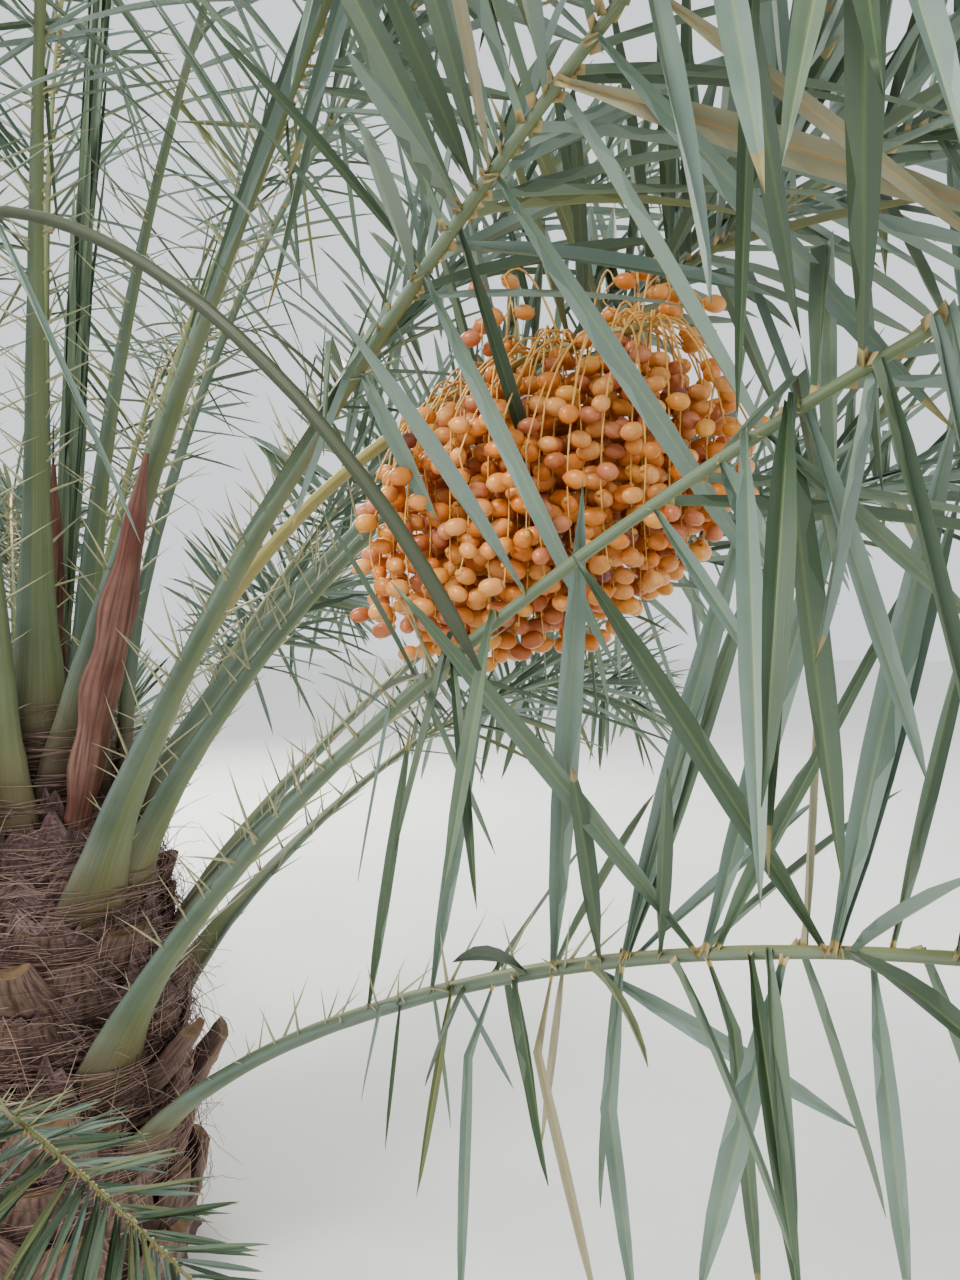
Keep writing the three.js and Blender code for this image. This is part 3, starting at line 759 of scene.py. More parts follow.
def make_patches_group():
    """Soft patches of a second colour over the first, with a finer mottle in both."""
    group, given = new_shader_group(
        "soft_patches",
        {
            "Colour": (COLOUR, WHITE),
            "Patch": (COLOUR, WHITE),
            "Scale": (FLOAT, 8),
            "Amount": (FLOAT, 0.5),
            "Mottle": (FLOAT, 0.15),
        },
        {"Colour": COLOUR, "Height": FLOAT},
    )
    place = group.nodes.new("ShaderNodeTexCoord").outputs["Object"]
    broad = noise_texture(group, place, given["Scale"], detail=3)
    fine_scale = calculate(group, "MULTIPLY", given["Scale"], MOTTLE_FINENESS)
    fine = noise_texture(group, place, fine_scale, detail=3)
    patch = ramp_value(group, broad, *PATCH_EDGE)
    amount = calculate(group, "MULTIPLY", patch, given["Amount"])
    patched = mix_colours(group, amount, given["Colour"], given["Patch"])
    values = {"Value": MOTTLE_SHADE, "Color": patched}
    darker = add_node(group, "ShaderNodeHueSaturation", values=values)
    speck = ramp_value(group, fine, *MOTTLE_EDGE)
    mottle = calculate(group, "MULTIPLY", speck, given["Mottle"])
    tint = mix_colours(group, mottle, patched, darker.outputs["Color"])
    close_shader_group(group, {"Colour": tint, "Height": fine})
    return group


def make_grain_group():
    """Fine lines along a piece, by its UV map: U runs across the lines and V along them."""
    group, given = new_shader_group(
        "lengthwise_grain",
        {
            "Colour": (COLOUR, WHITE),
            "Line": (COLOUR, WHITE),
            "Lines": (FLOAT, 40),
            "Runs": (FLOAT, 3),
            "Amount": (FLOAT, 0.5),
        },
        {"Colour": COLOUR, "Height": FLOAT},
    )
    across, along = uv_parts(group)
    across = calculate(group, "MULTIPLY", across, given["Lines"])
    along = calculate(group, "MULTIPLY", along, given["Runs"])
    stretched = add_node(group, "ShaderNodeCombineXYZ", values={"X": across, "Y": along})
    noise = noise_texture(group, stretched.outputs["Vector"], 1, detail=2)
    grain = ramp_value(group, noise, *GRAIN_EDGE)
    amount = calculate(group, "MULTIPLY", grain, given["Amount"])
    tint = mix_colours(group, amount, given["Colour"], given["Line"])
    close_shader_group(group, {"Colour": tint, "Height": noise})
    return group


PATCHES = make_patches_group()
GRAIN = make_grain_group()


def use_group(tree, group, **values):
    return add_node(tree, "ShaderNodeGroup", {"node_tree": group}, values).outputs


def new_material(name, roughness, specular=0.5):
    material = bpy.data.materials.new(name)
    material.use_nodes = True
    shader = material.node_tree.nodes["Principled BSDF"]
    shader.inputs["Roughness"].default_value = roughness
    shader.inputs["Specular IOR Level"].default_value = specular
    return material, material.node_tree, shader


def colour_and_bump(tree, shader, tint, height, strength, distance=0.002):
    tree.links.new(tint, shader.inputs["Base Color"])
    values = {"Height": height, "Strength": strength, "Distance": distance}
    bump = add_node(tree, "ShaderNodeBump", values=values)
    tree.links.new(bump.outputs["Normal"], shader.inputs["Normal"])


def patched_colours(tree, tint, patch, scale, amount, mottle):
    tint, patch = colour(*tint), colour(*patch)
    values = dict(Colour=tint, Patch=patch, Scale=scale, Amount=amount, Mottle=mottle)
    return use_group(tree, PATCHES, **values)


def grained_colours(tree, tint, line, lines, runs, amount):
    values = dict(Colour=tint, Line=colour(*line), Lines=lines, Runs=runs, Amount=amount)
    return use_group(tree, GRAIN, **values)


def plain_finish(name, tint, patch, roughness, scale=8, amount=0.5, mottle=0.2, bump=0.3):
    """Soft patches of two colours with a fine relief."""
    material, tree, shader = new_material(name, roughness)
    made = patched_colours(tree, tint, patch, scale, amount, mottle)
    colour_and_bump(tree, shader, made["Colour"], made["Height"], bump)
    return material


def grained_finish(name, tint, patch, line, roughness, lines, runs, amount=0.5, bump=0.4):
    """Soft patches crossed by fine lines along the piece."""
    material, tree, shader = new_material(name, roughness)
    base = patched_colours(tree, tint, patch, scale=7, amount=0.7, mottle=0.2)
    made = grained_colours(tree, base["Colour"], line, lines, runs, amount)
    colour_and_bump(tree, shader, made["Colour"], made["Height"], bump)
    return material


def leaf_finish(name, tint, bloom, midline, roughness):
    """A waxy leaflet: a bloom in patches, fine veins, a paler line where it folds, and one half
    painted paler towards the bloom colour as a painted highlight of the lit side of the fold.
    """
    material, tree, shader = new_material(name, roughness, specular=0.42)
    base = patched_colours(tree, tint, bloom, scale=6, amount=0.6, mottle=0.08)
    veins = grained_colours(tree, base["Colour"], midline, lines=34, runs=1.2, amount=0.16)
    across, _ = uv_parts(tree)
    middle = ramp_value(tree, away_from(tree, across, 0.5), 0.03, 0.1, low_to=0.55, high_to=0)
    # Painted highlight: one half of each leaflet turns towards the bloom colour, like the lit half
    # of the fold
    painted_lit_half = ramp_value(tree, across, 0.48, 0.52, high_to=0.5)
    tint = mix_colours(tree, painted_lit_half, veins["Colour"], colour(*bloom))
    tint = mix_colours(tree, middle, tint, colour(*midline))
    colour_and_bump(tree, shader, tint, veins["Height"], 0.25, distance=0.0012)
    return material


# Leaf tones, each with its colour above, its bloom, its colour below and its folded middle line.
# The bloom colour also paints one half of each leaflet paler, as a painted highlight.
LEAF_TONES = {
    "blue_green": [(98, 118, 108), (134, 150, 142), (134, 150, 142), (142, 154, 120)],
    "grey_green": [(84, 102, 84), (114, 130, 112), (114, 130, 116), (136, 146, 108)],
    "deep_green": [(60, 78, 58), (82, 98, 80), (90, 106, 90), (110, 124, 84)],
    "olive": [(96, 104, 70), (118, 126, 92), (122, 130, 100), (150, 150, 104)],
    "dry": [(144, 144, 120), (166, 164, 142), (160, 158, 136), (198, 162, 116)],
}
TONE_NAMES = list(LEAF_TONES)


def make_stalk_finish(name, shade):
    """Waxy grey green, yellower along the middles, blue on the edges, brown and ochre at the foot.

    shade is how far the whole turns to a dark brown green.
    """
    material, tree, shader = new_material(name, 0.48, specular=0.4)
    around, along = uv_parts(tree)
    green, bloom = (98, 112, 92), (126, 138, 126)
    body = patched_colours(tree, green, bloom, scale=5, amount=0.7, mottle=0.12)
    from_top = away_from(tree, around, 0.25)
    from_edge = away_from(tree, from_top, 0.25)
    tint = body["Colour"]
    # A shift of the colour goes by a measure, from where to where, with its strength at each
    for measure, low, high, low_to, high_to, shift in (
        (from_top, 0.05, 0.13, 0.62, 0, colour(134, 140, 80)),
        (from_top, 0.43, 0.47, 0, 0.4, colour(136, 142, 88)),
        (from_edge, 0, 0.06, 0.55, 0, colour(122, 142, 144)),
        (along, 0.3, 0.75, 0, 0.5, colour(134, 140, 92)),
        (along, 0.035, 0.12, 0.6, 0, colour(144, 126, 86)),
        (along, 0.03, 0.085, 0.9, 0, colour(92, 68, 56)),
    ):
        tint = mix_colours(tree, ramp_value(tree, measure, low, high, low_to, high_to), tint, shift)
    tint = mix_colours(tree, shade, tint, colour(48, 52, 42))
    made = grained_colours(tree, tint, (78, 92, 62), lines=60, runs=14, amount=0.3)
    colour_and_bump(tree, shader, made["Colour"], made["Height"], 0.3)
    return material


def make_date_finish(name, skin, blush):
    """Smooth ripening skin with a pale bloom and fine freckles."""
    material, tree, shader = new_material(name, 0.34, specular=0.5)
    body = patched_colours(tree, skin, blush, scale=32, amount=0.75, mottle=0.12)
    place = tree.nodes.new("ShaderNodeTexCoord").outputs["Object"]
    cells = add_node(tree, "ShaderNodeTexVoronoi", values={"Vector": place, "Scale": 420})
    freckle = ramp_value(tree, cells.outputs["Distance"], 0.1, 0.22, low_to=0.4, high_to=0)
    tint = mix_colours(tree, freckle, body["Colour"], colour(150, 92, 52))
    colour_and_bump(tree, shader, tint, body["Height"], 0.15, distance=0.001)
    return material


STALK_FINISH = make_stalk_finish("leaf_stalk", 0.0)
WEAK_STALK_FINISH = make_stalk_finish("weak_leaf_stalk", 0.85)
LEAF_FINISHES = {
    tone: (
        leaf_finish(tone + "_above", above, bloom, middle, 0.4),
        leaf_finish(tone + "_below", below, bloom, middle, 0.52),
    )
    for tone, (above, bloom, below, middle) in LEAF_TONES.items()
}
LEAF_FOOT = plain_finish("leaf_foot", (190, 168, 124), (160, 152, 108), 0.6)
LEAF_TIP = plain_finish("dry_tip", (158, 150, 112), (136, 124, 88), 0.7)
SPINE_FINISH = plain_finish("spine", (160, 160, 126), (190, 182, 148), 0.38, scale=14)
BARK = plain_finish(
    "trunk_bark", (98, 76, 72), (128, 106, 98), 0.95, scale=9, mottle=0.6, bump=0.9
)
BOOT_COLOURS = (122, 98, 88), (154, 132, 118), (72, 54, 48)
BOOT_FINISH = grained_finish(
    "old_leaf_base", *BOOT_COLOURS, 0.85, lines=46, runs=3, amount=0.8, bump=0.8
)
BOOT_CUT = plain_finish(
    "cut_leaf_base", (142, 118, 92), (100, 78, 62), 0.9, scale=60, mottle=0.6, bump=0.8
)
CLOTH_COLOURS = (132, 106, 104), (168, 146, 142), (78, 60, 60)
FIBRE_CLOTH = grained_finish(
    "fibre_cloth", *CLOTH_COLOURS, 0.95, lines=150, runs=30, amount=0.9, bump=1
)
FIBRE_TONES = {
    "dark": plain_finish("dark_fibre", (96, 74, 72), (118, 96, 92), 0.85),
    "brown": plain_finish("brown_fibre", (156, 130, 122), (178, 154, 144), 0.85),
    "pale": plain_finish("pale_fibre", (190, 168, 148), (166, 142, 126), 0.8),
}
SPATHE_COLOURS = (126, 82, 72), (166, 134, 122), (80, 50, 44)
SPATHE_FINISH = grained_finish(
    "dry_spathe", *SPATHE_COLOURS, 0.68, lines=30, runs=5, amount=0.7, bump=0.6
)
FRUIT_STALK_COLOURS = (166, 160, 104), (144, 146, 96), (140, 118, 70)
FRUIT_STALK_FINISH = grained_finish(
    "fruit_stalk", *FRUIT_STALK_COLOURS, 0.42, lines=26, runs=6, amount=0.45
)
STRAND_FINISH = plain_finish("strand", (226, 184, 112), (226, 160, 92), 0.45, scale=9)
CAP_FINISH = plain_finish("date_cap", (214, 170, 96), (186, 140, 78), 0.6, scale=60)
DATE_TONES = {
    "apricot": ((224, 156, 90), (228, 172, 116)),
    "orange": ((216, 136, 68), (222, 152, 88)),
    "amber": ((228, 168, 92), (220, 148, 80)),
    "rose": ((202, 130, 94), (212, 146, 110)),
    "brown": ((178, 104, 66), (196, 124, 78)),
    "plum": ((128, 80, 78), (166, 106, 86)),
}
DATE_SHARES = (0.36, 0.25, 0.13, 0.19, 0.05, 0.02)
DATE_FINISHES = {
    tone: make_date_finish(tone + "_date", *tints) for tone, tints in DATE_TONES.items()
}


# Stalks and ribs of the fronds

STALK_CORNERS = 18
STALK_STATIONS = 84
STATION_CROWDING = 1.15
FOOT_FLARE = 0.95
FOOT_FLARE_LENGTH = 0.19
STALK_LUMPS = 0.05
STALK_LUMP_LENGTH = 0.09
RIB_TIP_SHARE = 0.3
# The section: how square its sides and its faces are, how narrow it is below, and how deep the
# hollow above is at the foot, which turns into a ridge along the rib
STALK_SQUARES = (0.72, 0.85)
STALK_UNDERSIDE = 0.66
HOLLOW_AT_FOOT = 0.3
RIDGE_ON_RIB = 0.12


def stalk_section(share):
    """Sections as shares of width and thickness: hollow above at the foot, ridged along the rib."""
    angles = round_angles(STALK_CORNERS)
    across, above = map(bulged, (np.cos(angles), np.sin(angles)), STALK_SQUARES)
    across = across * np.where(above < 0, mix(1, STALK_UNDERSIDE, -2 * above), 1)
    across = np.repeat(across[None], len(share), axis=0)
    hollow = mix(HOLLOW_AT_FOOT, -RIDGE_ON_RIB, np.clip(share / STALK_SHARE, 0, 1))[:, None]
    dip = np.where(above > 0, 1 - (2 * across) ** 2, 0)
    return across, above - hollow * dip


def make_stalk_and_rib(frond, number):
    along = frond.length * np.linspace(0, 1, STALK_STATIONS) ** STATION_CROWDING
    stations = frond.at(along)
    stations.width = stations.width * (1 + FOOT_FLARE * np.exp(-along / FOOT_FLARE_LENGTH))
    stout = mix(1, habit_of(number)["stout"], np.clip(along / (STALK_SHARE * frond.length), 0, 1))
    stations.width = stations.width * stout
    stations.thickness = stations.thickness * stout
    across, above = stalk_section(along / frond.length)
    rings = place_sections(stations, across, above)
    lumps = Noise(number, STALK_LUMP_LENGTH)
    outwards = rings - stations.point[:, None]
    rings = rings + outwards * STALK_LUMPS * lumps(rings)[..., None]
    rings[-1] = mix(stations.point[-1], rings[-1], RIB_TIP_SHARE)
    finish = WEAK_STALK_FINISH if number == WEAK_FROND else STALK_FINISH
    name = f"stalk_and_rib_{number + 1:02d}"
    piece = make_tube(name, rings, [finish], v=along / frond.length)
    node = f"frond_{number + 1:02d}"
    split = number < len(FRONT_FRONDS)
    nodes = (node + "_stalk", node + "_blade") if split else (node,)
    on_palm(piece, "leaf_stalk", *nodes)


# Spines: from where on the stalk and how far past it, how far they stray, how much their lean
# strays, and the share that is kept
SPINES_START = 0.29
SPINES_PAST_STALK = 0.12
SPINE_STRAY = 0.022
SPINE_LEAN_STRAY = 0.1
SPINES_KEPT = 0.8
SPINE_FLATNESS = 0.7
# Where they stand on the stalk's width, and the share of each that is in the stalk's own room
SPINE_EDGE = 0.46
SPINE_ROOT_SHARE = 0.2
# They lengthen up the stalk: from where, over what distance and from which share of their length,
# and by what share more over the whole frond
SPINES_LENGTHEN_FROM = 0.2
SPINES_LENGTHEN_OVER = 0.3
SHORTEST_SPINE = 0.35
SPINES_LENGTHEN_BY = 0.5
SPINE_PROFILE = [(0.62, -0.04), (0.44, 0.2), (0.24, 0.66), (0.02, 1)]
SPINE_SIDES = 5
SPINE_BOW = 0.8


def make_spines(fronds, rods):
    """Slender spines in pairs along both edges of the stalks."""
    draw = np.random.default_rng(SPINE_SEED)
    roots, directions, sizes = [], [], []
    for number, frond in enumerate(fronds):
        end = STALK_SHARE * frond.length + SPINES_PAST_STALK
        along = np.arange(SPINES_START, end, SPINE_SPACING)
        for way in (-1, 1):
            for out, ahead, up in SPINE_LEANS:
                spots = along + draw.uniform(-SPINE_STRAY, SPINE_STRAY, len(along))
                at = frond.at(spots)
                lean = draw.normal(0, SPINE_LEAN_STRAY, (len(spots), 3))
                lean = np.array([out, ahead, up]) + lean
                direction = unit(
                    at.side * way * lean[:, :1] + at.ahead * lean[:, 1:2] + at.up * lean[:, 2:]
                )
                grown = (spots - SPINES_LENGTHEN_FROM) / SPINES_LENGTHEN_OVER
                grown = np.clip(grown, SHORTEST_SPINE, 1)
                grown = grown * (1 + SPINES_LENGTHEN_BY * spots / frond.length)
                length = SPINE_LENGTH * draw.uniform(*SPINE_LENGTHS, len(spots)) * grown
                root = at.point + at.side * way * at.width[:, None] * SPINE_EDGE
                kept = draw.random(len(spots)) < SPINES_KEPT
                thin = np.full(len(spots), SPINE_THICKNESS / 2)
                tip = root + direction * length[:, None]
                free = root + SPINE_ROOT_SHARE * (tip - root)
                kept &= rods.clear(number, free, tip, thin, thin / 2)
                roots.append(root[kept])
                directions.append(direction[kept])
                thickness = SPINE_THICKNESS * (length / SPINE_LENGTH) ** 0.5
                size = np.stack([thickness, thickness * SPINE_FLATNESS, length], axis=1)
                sizes.append(size[kept])
    roots, directions, sizes = map(np.concatenate, (roots, directions, sizes))
    pattern = turned_pattern("spine_pattern", SPINE_PROFILE, SPINE_SIDES, bow=SPINE_BOW)
    spins = draw.uniform(0, 2 * np.pi, len(roots))
    spines = grow_on_points("spines", roots, directions, sizes, spins, pattern, SPINE_FINISH)
    bpy.data.objects.remove(pattern)
    on_palm(spines, "leaf_stalk")


# Leaflets

RING_SHARES = np.array([0, 0.03, 0.09, 0.22, 0.4, 0.58, 0.76, 0.91, 1])
BLADE_SHARES = [0, 0.03, 0.07, 0.16, 0.32, 0.52, 0.7, 0.84, 0.94, 1]
BLADE_WIDTHS = np.interp(
    RING_SHARES, BLADE_SHARES, [0.5, 0.42, 0.46, 0.78, 0.97, 1, 0.9, 0.66, 0.34, 0.02]
)
BLADE_FOLDS = np.interp(RING_SHARES, BLADE_SHARES, [52, 56, 56, 42, 30, 25, 27, 32, 40, 50])
KEEL_SHARES = [0, 0.03, 0.08, 0.5, 1]
KEEL_DEPTHS = np.interp(RING_SHARES, KEEL_SHARES, [0.006, 0.0055, 0.003, 0.0017, 0.0006])
# Where the surface's U runs from and to on each of a leaflet's four faces: right, left, then below
BLADE_U_FROM = (1, 0.5, 0, 0.5)
BLADE_U_TO = (0.5, 0, 0.5, 1)

# The first leaflets above the stalk are narrow, almost spines
NARROW_SHARE = 0.14
NARROWEST = 0.3

# Groups stand closer on short fronds and are staggered on the two edges. Their members are a step
# apart and stray a little, and none reaches the tip.
SHORT_FROND_SPACING = 0.55
EDGE_STAGGER = 0.22
GROUP_STEP = 0.017
GROUP_STRAY = 0.008
BARE_TIP = 0.008
# Where a leaflet's foot stands, in shares of the rib's width and thickness
FOOT_ACROSS = 0.42
FOOT_ABOVE = 0.2
# How single leaflets stray from their group: angles in degrees, the rest in radians and shares
ANGLE_SCATTER = 6
UPPER_LEAN = 0.3
ROLL_SCATTER = 0.4
TWIST_SCATTER = 0.45
LEAFLET_LENGTHS = (0.84, 1.06)
LEAFLET_WIDTHS = (0.78, 1.12)
DROOP = (2, 0.11)
DROOP_POWER = 1.4
# Where kinked leaflets kink, past the tip for the others, and how they hang from there
KINK_SHARES = [0.03, 0.05, 0.1, 0.45]
NO_KINK = 2
HANG_SHARE = 0.9
HANG_LEAN = 0.4
HANG_SCATTER = 0.06
# The leaflets that the photo shows one by one droop and twist by this
SHOWN_DROOP = 0.06
SHOWN_TWIST = 0.3
# Half the thickness that a leaflet takes among the limbs
LEAFLET_RADIUS = 0.006

# How a frond carries its leaflets: the share of it where they start, the distance between groups,
# how many are in a group, the share that is sharply kinked and hangs, what is added to the stance
# on the far side, shares of the usual length, length on the far side, width and scatter, and of
# the rib's thickness
USUAL_HABIT = dict(
    first=STALK_SHARE,
    spacing=0.049,
    members=2.6,
    kinked=0.07,
    upright=0,
    long=1,
    far=1,
    wide=1,
    scatter=1,
    stout=1,
)
HABITS = {
    0: dict(kinked=0.2),
    1: dict(kinked=0.3, spacing=0.066, members=2),
    WEAK_FROND: dict(spacing=0.11, members=1, kinked=0.2, long=0.7, wide=0.6),
    10: dict(first=0.3, spacing=0.115, members=2, kinked=0.5, upright=36, stout=1.4),
    11: dict(spacing=0.024, members=2, kinked=0, long=0.9, far=0.5, wide=0.5, scatter=0.35),
}


def habit_of(number):
    return USUAL_HABIT | HABITS.get(number, {})


def shown(along, length, width, tone, start, kink=NO_KINK, hang=(0, 0, -1)):
    return dict(
        along=along, length=length, width=width, tone=tone, start=start, kink=kink, hang=hang
    )


# Leaflets that the photo shows one by one, by the frond's number: distance along the rib, length,
# width, tone and direction, and for kinked ones the share before the kink and the direction past it
SHOWN_LEAFLETS = {
    0: [
        shown(1.255, 0.225, 0.026, "blue_green", (0.9, 0, 0.1), 0.08, (0.36, 0.05, -0.93)),
        shown(1.405, 0.530, 0.029, "blue_green", (0.8, -0.2, 0.3), 0.05, (0.34, 0.06, -0.94)),
        shown(1.540, 0.570, 0.031, "blue_green", (0.9, -0.2, 0.1), 0.05, (0.48, 0.08, -0.87)),
        shown(1.475, 0.430, 0.022, "deep_green", (0.8, 0.4, 0.2), 0.04, (0.22, 0.5, -0.84)),
        shown(1.700, 0.540, 0.030, "blue_green", (0.7, -0.3, 0.2), 0.05, (0.62, 0.1, -0.78)),
        shown(1.330, 0.330, 0.020, "grey_green", (-0.3, -0.5, 0.5), 0.05, (-0.42, -0.1, -0.9)),
        shown(1.660, 0.470, 0.062, "dry", (0.93, -0.12, -0.33)),
        shown(1.770, 0.440, 0.034, "dry", (0.81, 0.02, -0.58)),
        shown(1.900, 0.520, 0.017, "deep_green", (0.3, 0, 0.3), 0.05, (-0.1, 0.05, -0.99)),
    ],
    1: [
        shown(1.600, 0.220, 0.019, "blue_green", (0.7, 0.3, 0), 0.05, (0.5, 0.05, -0.86)),
        shown(1.685, 0.120, 0.026, "blue_green", (0.6, 0.2, 0), 0.05, (0.38, 0, -0.92)),
        shown(1.730, 0.310, 0.021, "grey_green", (0.9, 0.2, 0.1), 0.05, (0.72, 0.1, -0.69)),
        shown(1.770, 0.380, 0.026, "blue_green", (0.7, 0.3, 0.2), 0.05, (0.25, 0.05, -0.97)),
        shown(1.840, 0.270, 0.031, "blue_green", (0.4, 0.3, 0.2), 0.05, (-0.22, 0.05, -0.97)),
    ],
    2: [
        shown(1.570, 0.600, 0.026, "blue_green", (-0.4, -0.2, 0.1), 0.05, (-0.22, 0, -0.97)),
        shown(1.630, 0.620, 0.024, "grey_green", (-0.2, -0.2, 0.1), 0.05, (-0.13, 0.05, -0.99)),
        shown(1.780, 0.600, 0.030, "blue_green", (-0.4, -0.1, 0), 0.05, (-0.18, 0, -0.98)),
    ],
    10: [
        shown(0.730, 0.500, 0.020, "grey_green", (0.10, -0.20, 0.61)),
        shown(0.860, 0.600, 0.026, "blue_green", (0.10, -0.29, 0.66)),
        shown(1.080, 0.690, 0.036, "blue_green", (0.01, -0.31, 0.67)),
        shown(1.190, 0.620, 0.036, "blue_green", (0.12, -0.15, 0.59)),
        shown(1.195, 0.560, 0.028, "grey_green", (0.15, -0.15, 0.59)),
        shown(1.300, 0.607, 0.030, "grey_green", (-0.37, -0.11, 0.47)),
        shown(1.305, 0.665, 0.038, "blue_green", (0.14, -0.13, 0.64)),
        shown(1.320, 0.600, 0.017, "grey_green", (0.23, -0.15, 0.57)),
        shown(1.460, 0.560, 0.032, "deep_green", (-0.30, -0.10, 0.46)),
        shown(1.465, 0.620, 0.040, "blue_green", (0.08, -0.12, 0.60)),
        shown(1.470, 0.540, 0.026, "blue_green", (0.11, -0.10, 0.60)),
        shown(1.600, 0.420, 0.046, "deep_green", (0.06, -0.08, 0.39)),
        shown(0.980, 0.510, 0.020, "blue_green", (-0.33, 0, -0.95), 0.28, (0, 0, -1)),
        shown(1.080, 0.510, 0.030, "dry", (-0.18, 0, -0.98), 0.18, (0.27, 0, -0.96)),
        shown(1.190, 0.480, 0.026, "blue_green", (-0.09, 0, -1), 0.38, (0.15, 0, -0.99)),
        shown(1.310, 0.440, 0.024, "grey_green", (0.35, 0, -0.94), 0.29, (0.07, 0, -1)),
        shown(1.410, 0.420, 0.038, "blue_green", (-0.25, 0, -0.97)),
        shown(1.510, 0.400, 0.028, "blue_green", (0.11, 0, -0.99)),
        shown(1.140, 0.460, 0.032, "blue_green", (0.84, 0.12, -0.52)),
    ],
}

# Where the view through the crown is open: at the upper left, and over the bunch. Each has its
# middle and reach in the photo's pixels, how deep leaflets are thinned, and what stays of them.
OPENINGS = [
    dict(middle=(110, 170), reach=(235, 320), depth=9.0, kept=0.42, slimness=0.55),
    dict(middle=(548, 478), reach=(195, 190), depth=1.35, kept=0.08, slimness=0.8),
]
# Leaflets that would come within this of the viewer hang down instead, or are left out
HANG_WITHIN = 0.8
NEAREST_LEAF = 0.6


def seen_at(points):
    """Where the photo shows points, in its pixels from the left and top, and how deep they lie."""
    across, depth, up = np.moveaxis(points - CAMERA_PLACE, -1, 0)
    scale = FOCAL_PIXELS / np.maximum(depth, 0.05)
    return PHOTO_WIDTH / 2 + across * scale, PHOTO_HEIGHT / 2 - up * scale, depth


def transported(normal, before, after):
    """The normal, turned as little as takes the direction before to the one after."""
    axis = np.cross(before, after)
    cosine = (before * after).sum(-1, keepdims=True)
    turned = normal * cosine + np.cross(axis, normal)
    turned = turned + axis * (axis * normal).sum(-1, keepdims=True) / (1 + cosine + 1e-6)
    return square_to(turned, after)


class Leaflets:
    """Leaflets as arrays: roots, directions at the root, upper sides, lengths and habits."""

    FIELDS = ("root", "start", "upper", "length", "width", "droop", "kink", "hang", "twist")

    def __init__(self, **fields):
        for name in self.FIELDS:
            setattr(self, name, fields[name])

    def chosen(self, mask):
        return Leaflets(**{name: getattr(self, name)[mask] for name in self.FIELDS})

    def paths(self):
        """Middle lines and the direction of each stretch: drooping, some sharply kinked."""
        middles = (RING_SHARES[1:] + RING_SHARES[:-1]) / 2
        sag = self.droop[:, None] * middles**DROOP_POWER
        stretch = unit(self.start[:, None] + sag[..., None] * np.array([0, 0, -1]))
        past = (middles[None] > self.kink[:, None])[..., None]
        hanging = unit(mix(stretch, self.hang[:, None], HANG_SHARE))
        stretch = np.where(past, hanging, stretch)
        steps = stretch * (np.diff(RING_SHARES)[None, :, None] * self.length[:, None, None])
        points = np.concatenate([self.root[:, None], self.root[:, None] + np.cumsum(steps, 1)], 1)
        return points, stretch

    def rings(self):
        points, stretch = self.paths()
        ahead = np.concatenate([stretch[:, :1], stretch], axis=1)
        ahead = unit(ahead + np.concatenate([stretch, stretch[:, -1:]], axis=1))
        normals = [self.upper]
        for ring in range(1, len(RING_SHARES)):
            normals.append(transported(normals[-1], ahead[:, ring - 1], ahead[:, ring]))
        normals = np.stack(normals, axis=1)
        turn = (self.twist[:, None] * RING_SHARES)[..., None]
        normals = normals * np.cos(turn) + np.cross(ahead, normals) * np.sin(turn)
        across = np.cross(normals, ahead)
        half = (self.width[:, None] * BLADE_WIDTHS / 2)[..., None]
        fold = np.radians(BLADE_FOLDS)[None, :, None]
        outwards = across * half * np.cos(fold)
        upwards = normals * half * np.sin(fold)
        keel = points - normals * KEEL_DEPTHS[None, :, None]
        return np.stack([points + outwards + upwards, points, points - outwards + upwards, keel], 2)


def joined_leaflets(sets):
    return Leaflets(
        **{
            name: np.concatenate([getattr(leaflets, name) for leaflets in sets])
            for name in Leaflets.FIELDS
        }
    )


def leaflet_length(frond, leafy):
    swell = np.sin(np.pi * mix(*LEAFLET_SWELL, leafy)) ** LEAFLET_SWELL_POWER
    return LEAFLET_LENGTH * swell * mix(SHORTEST_LEAFLETS, 1, frond.length / FULL_LENGTH)


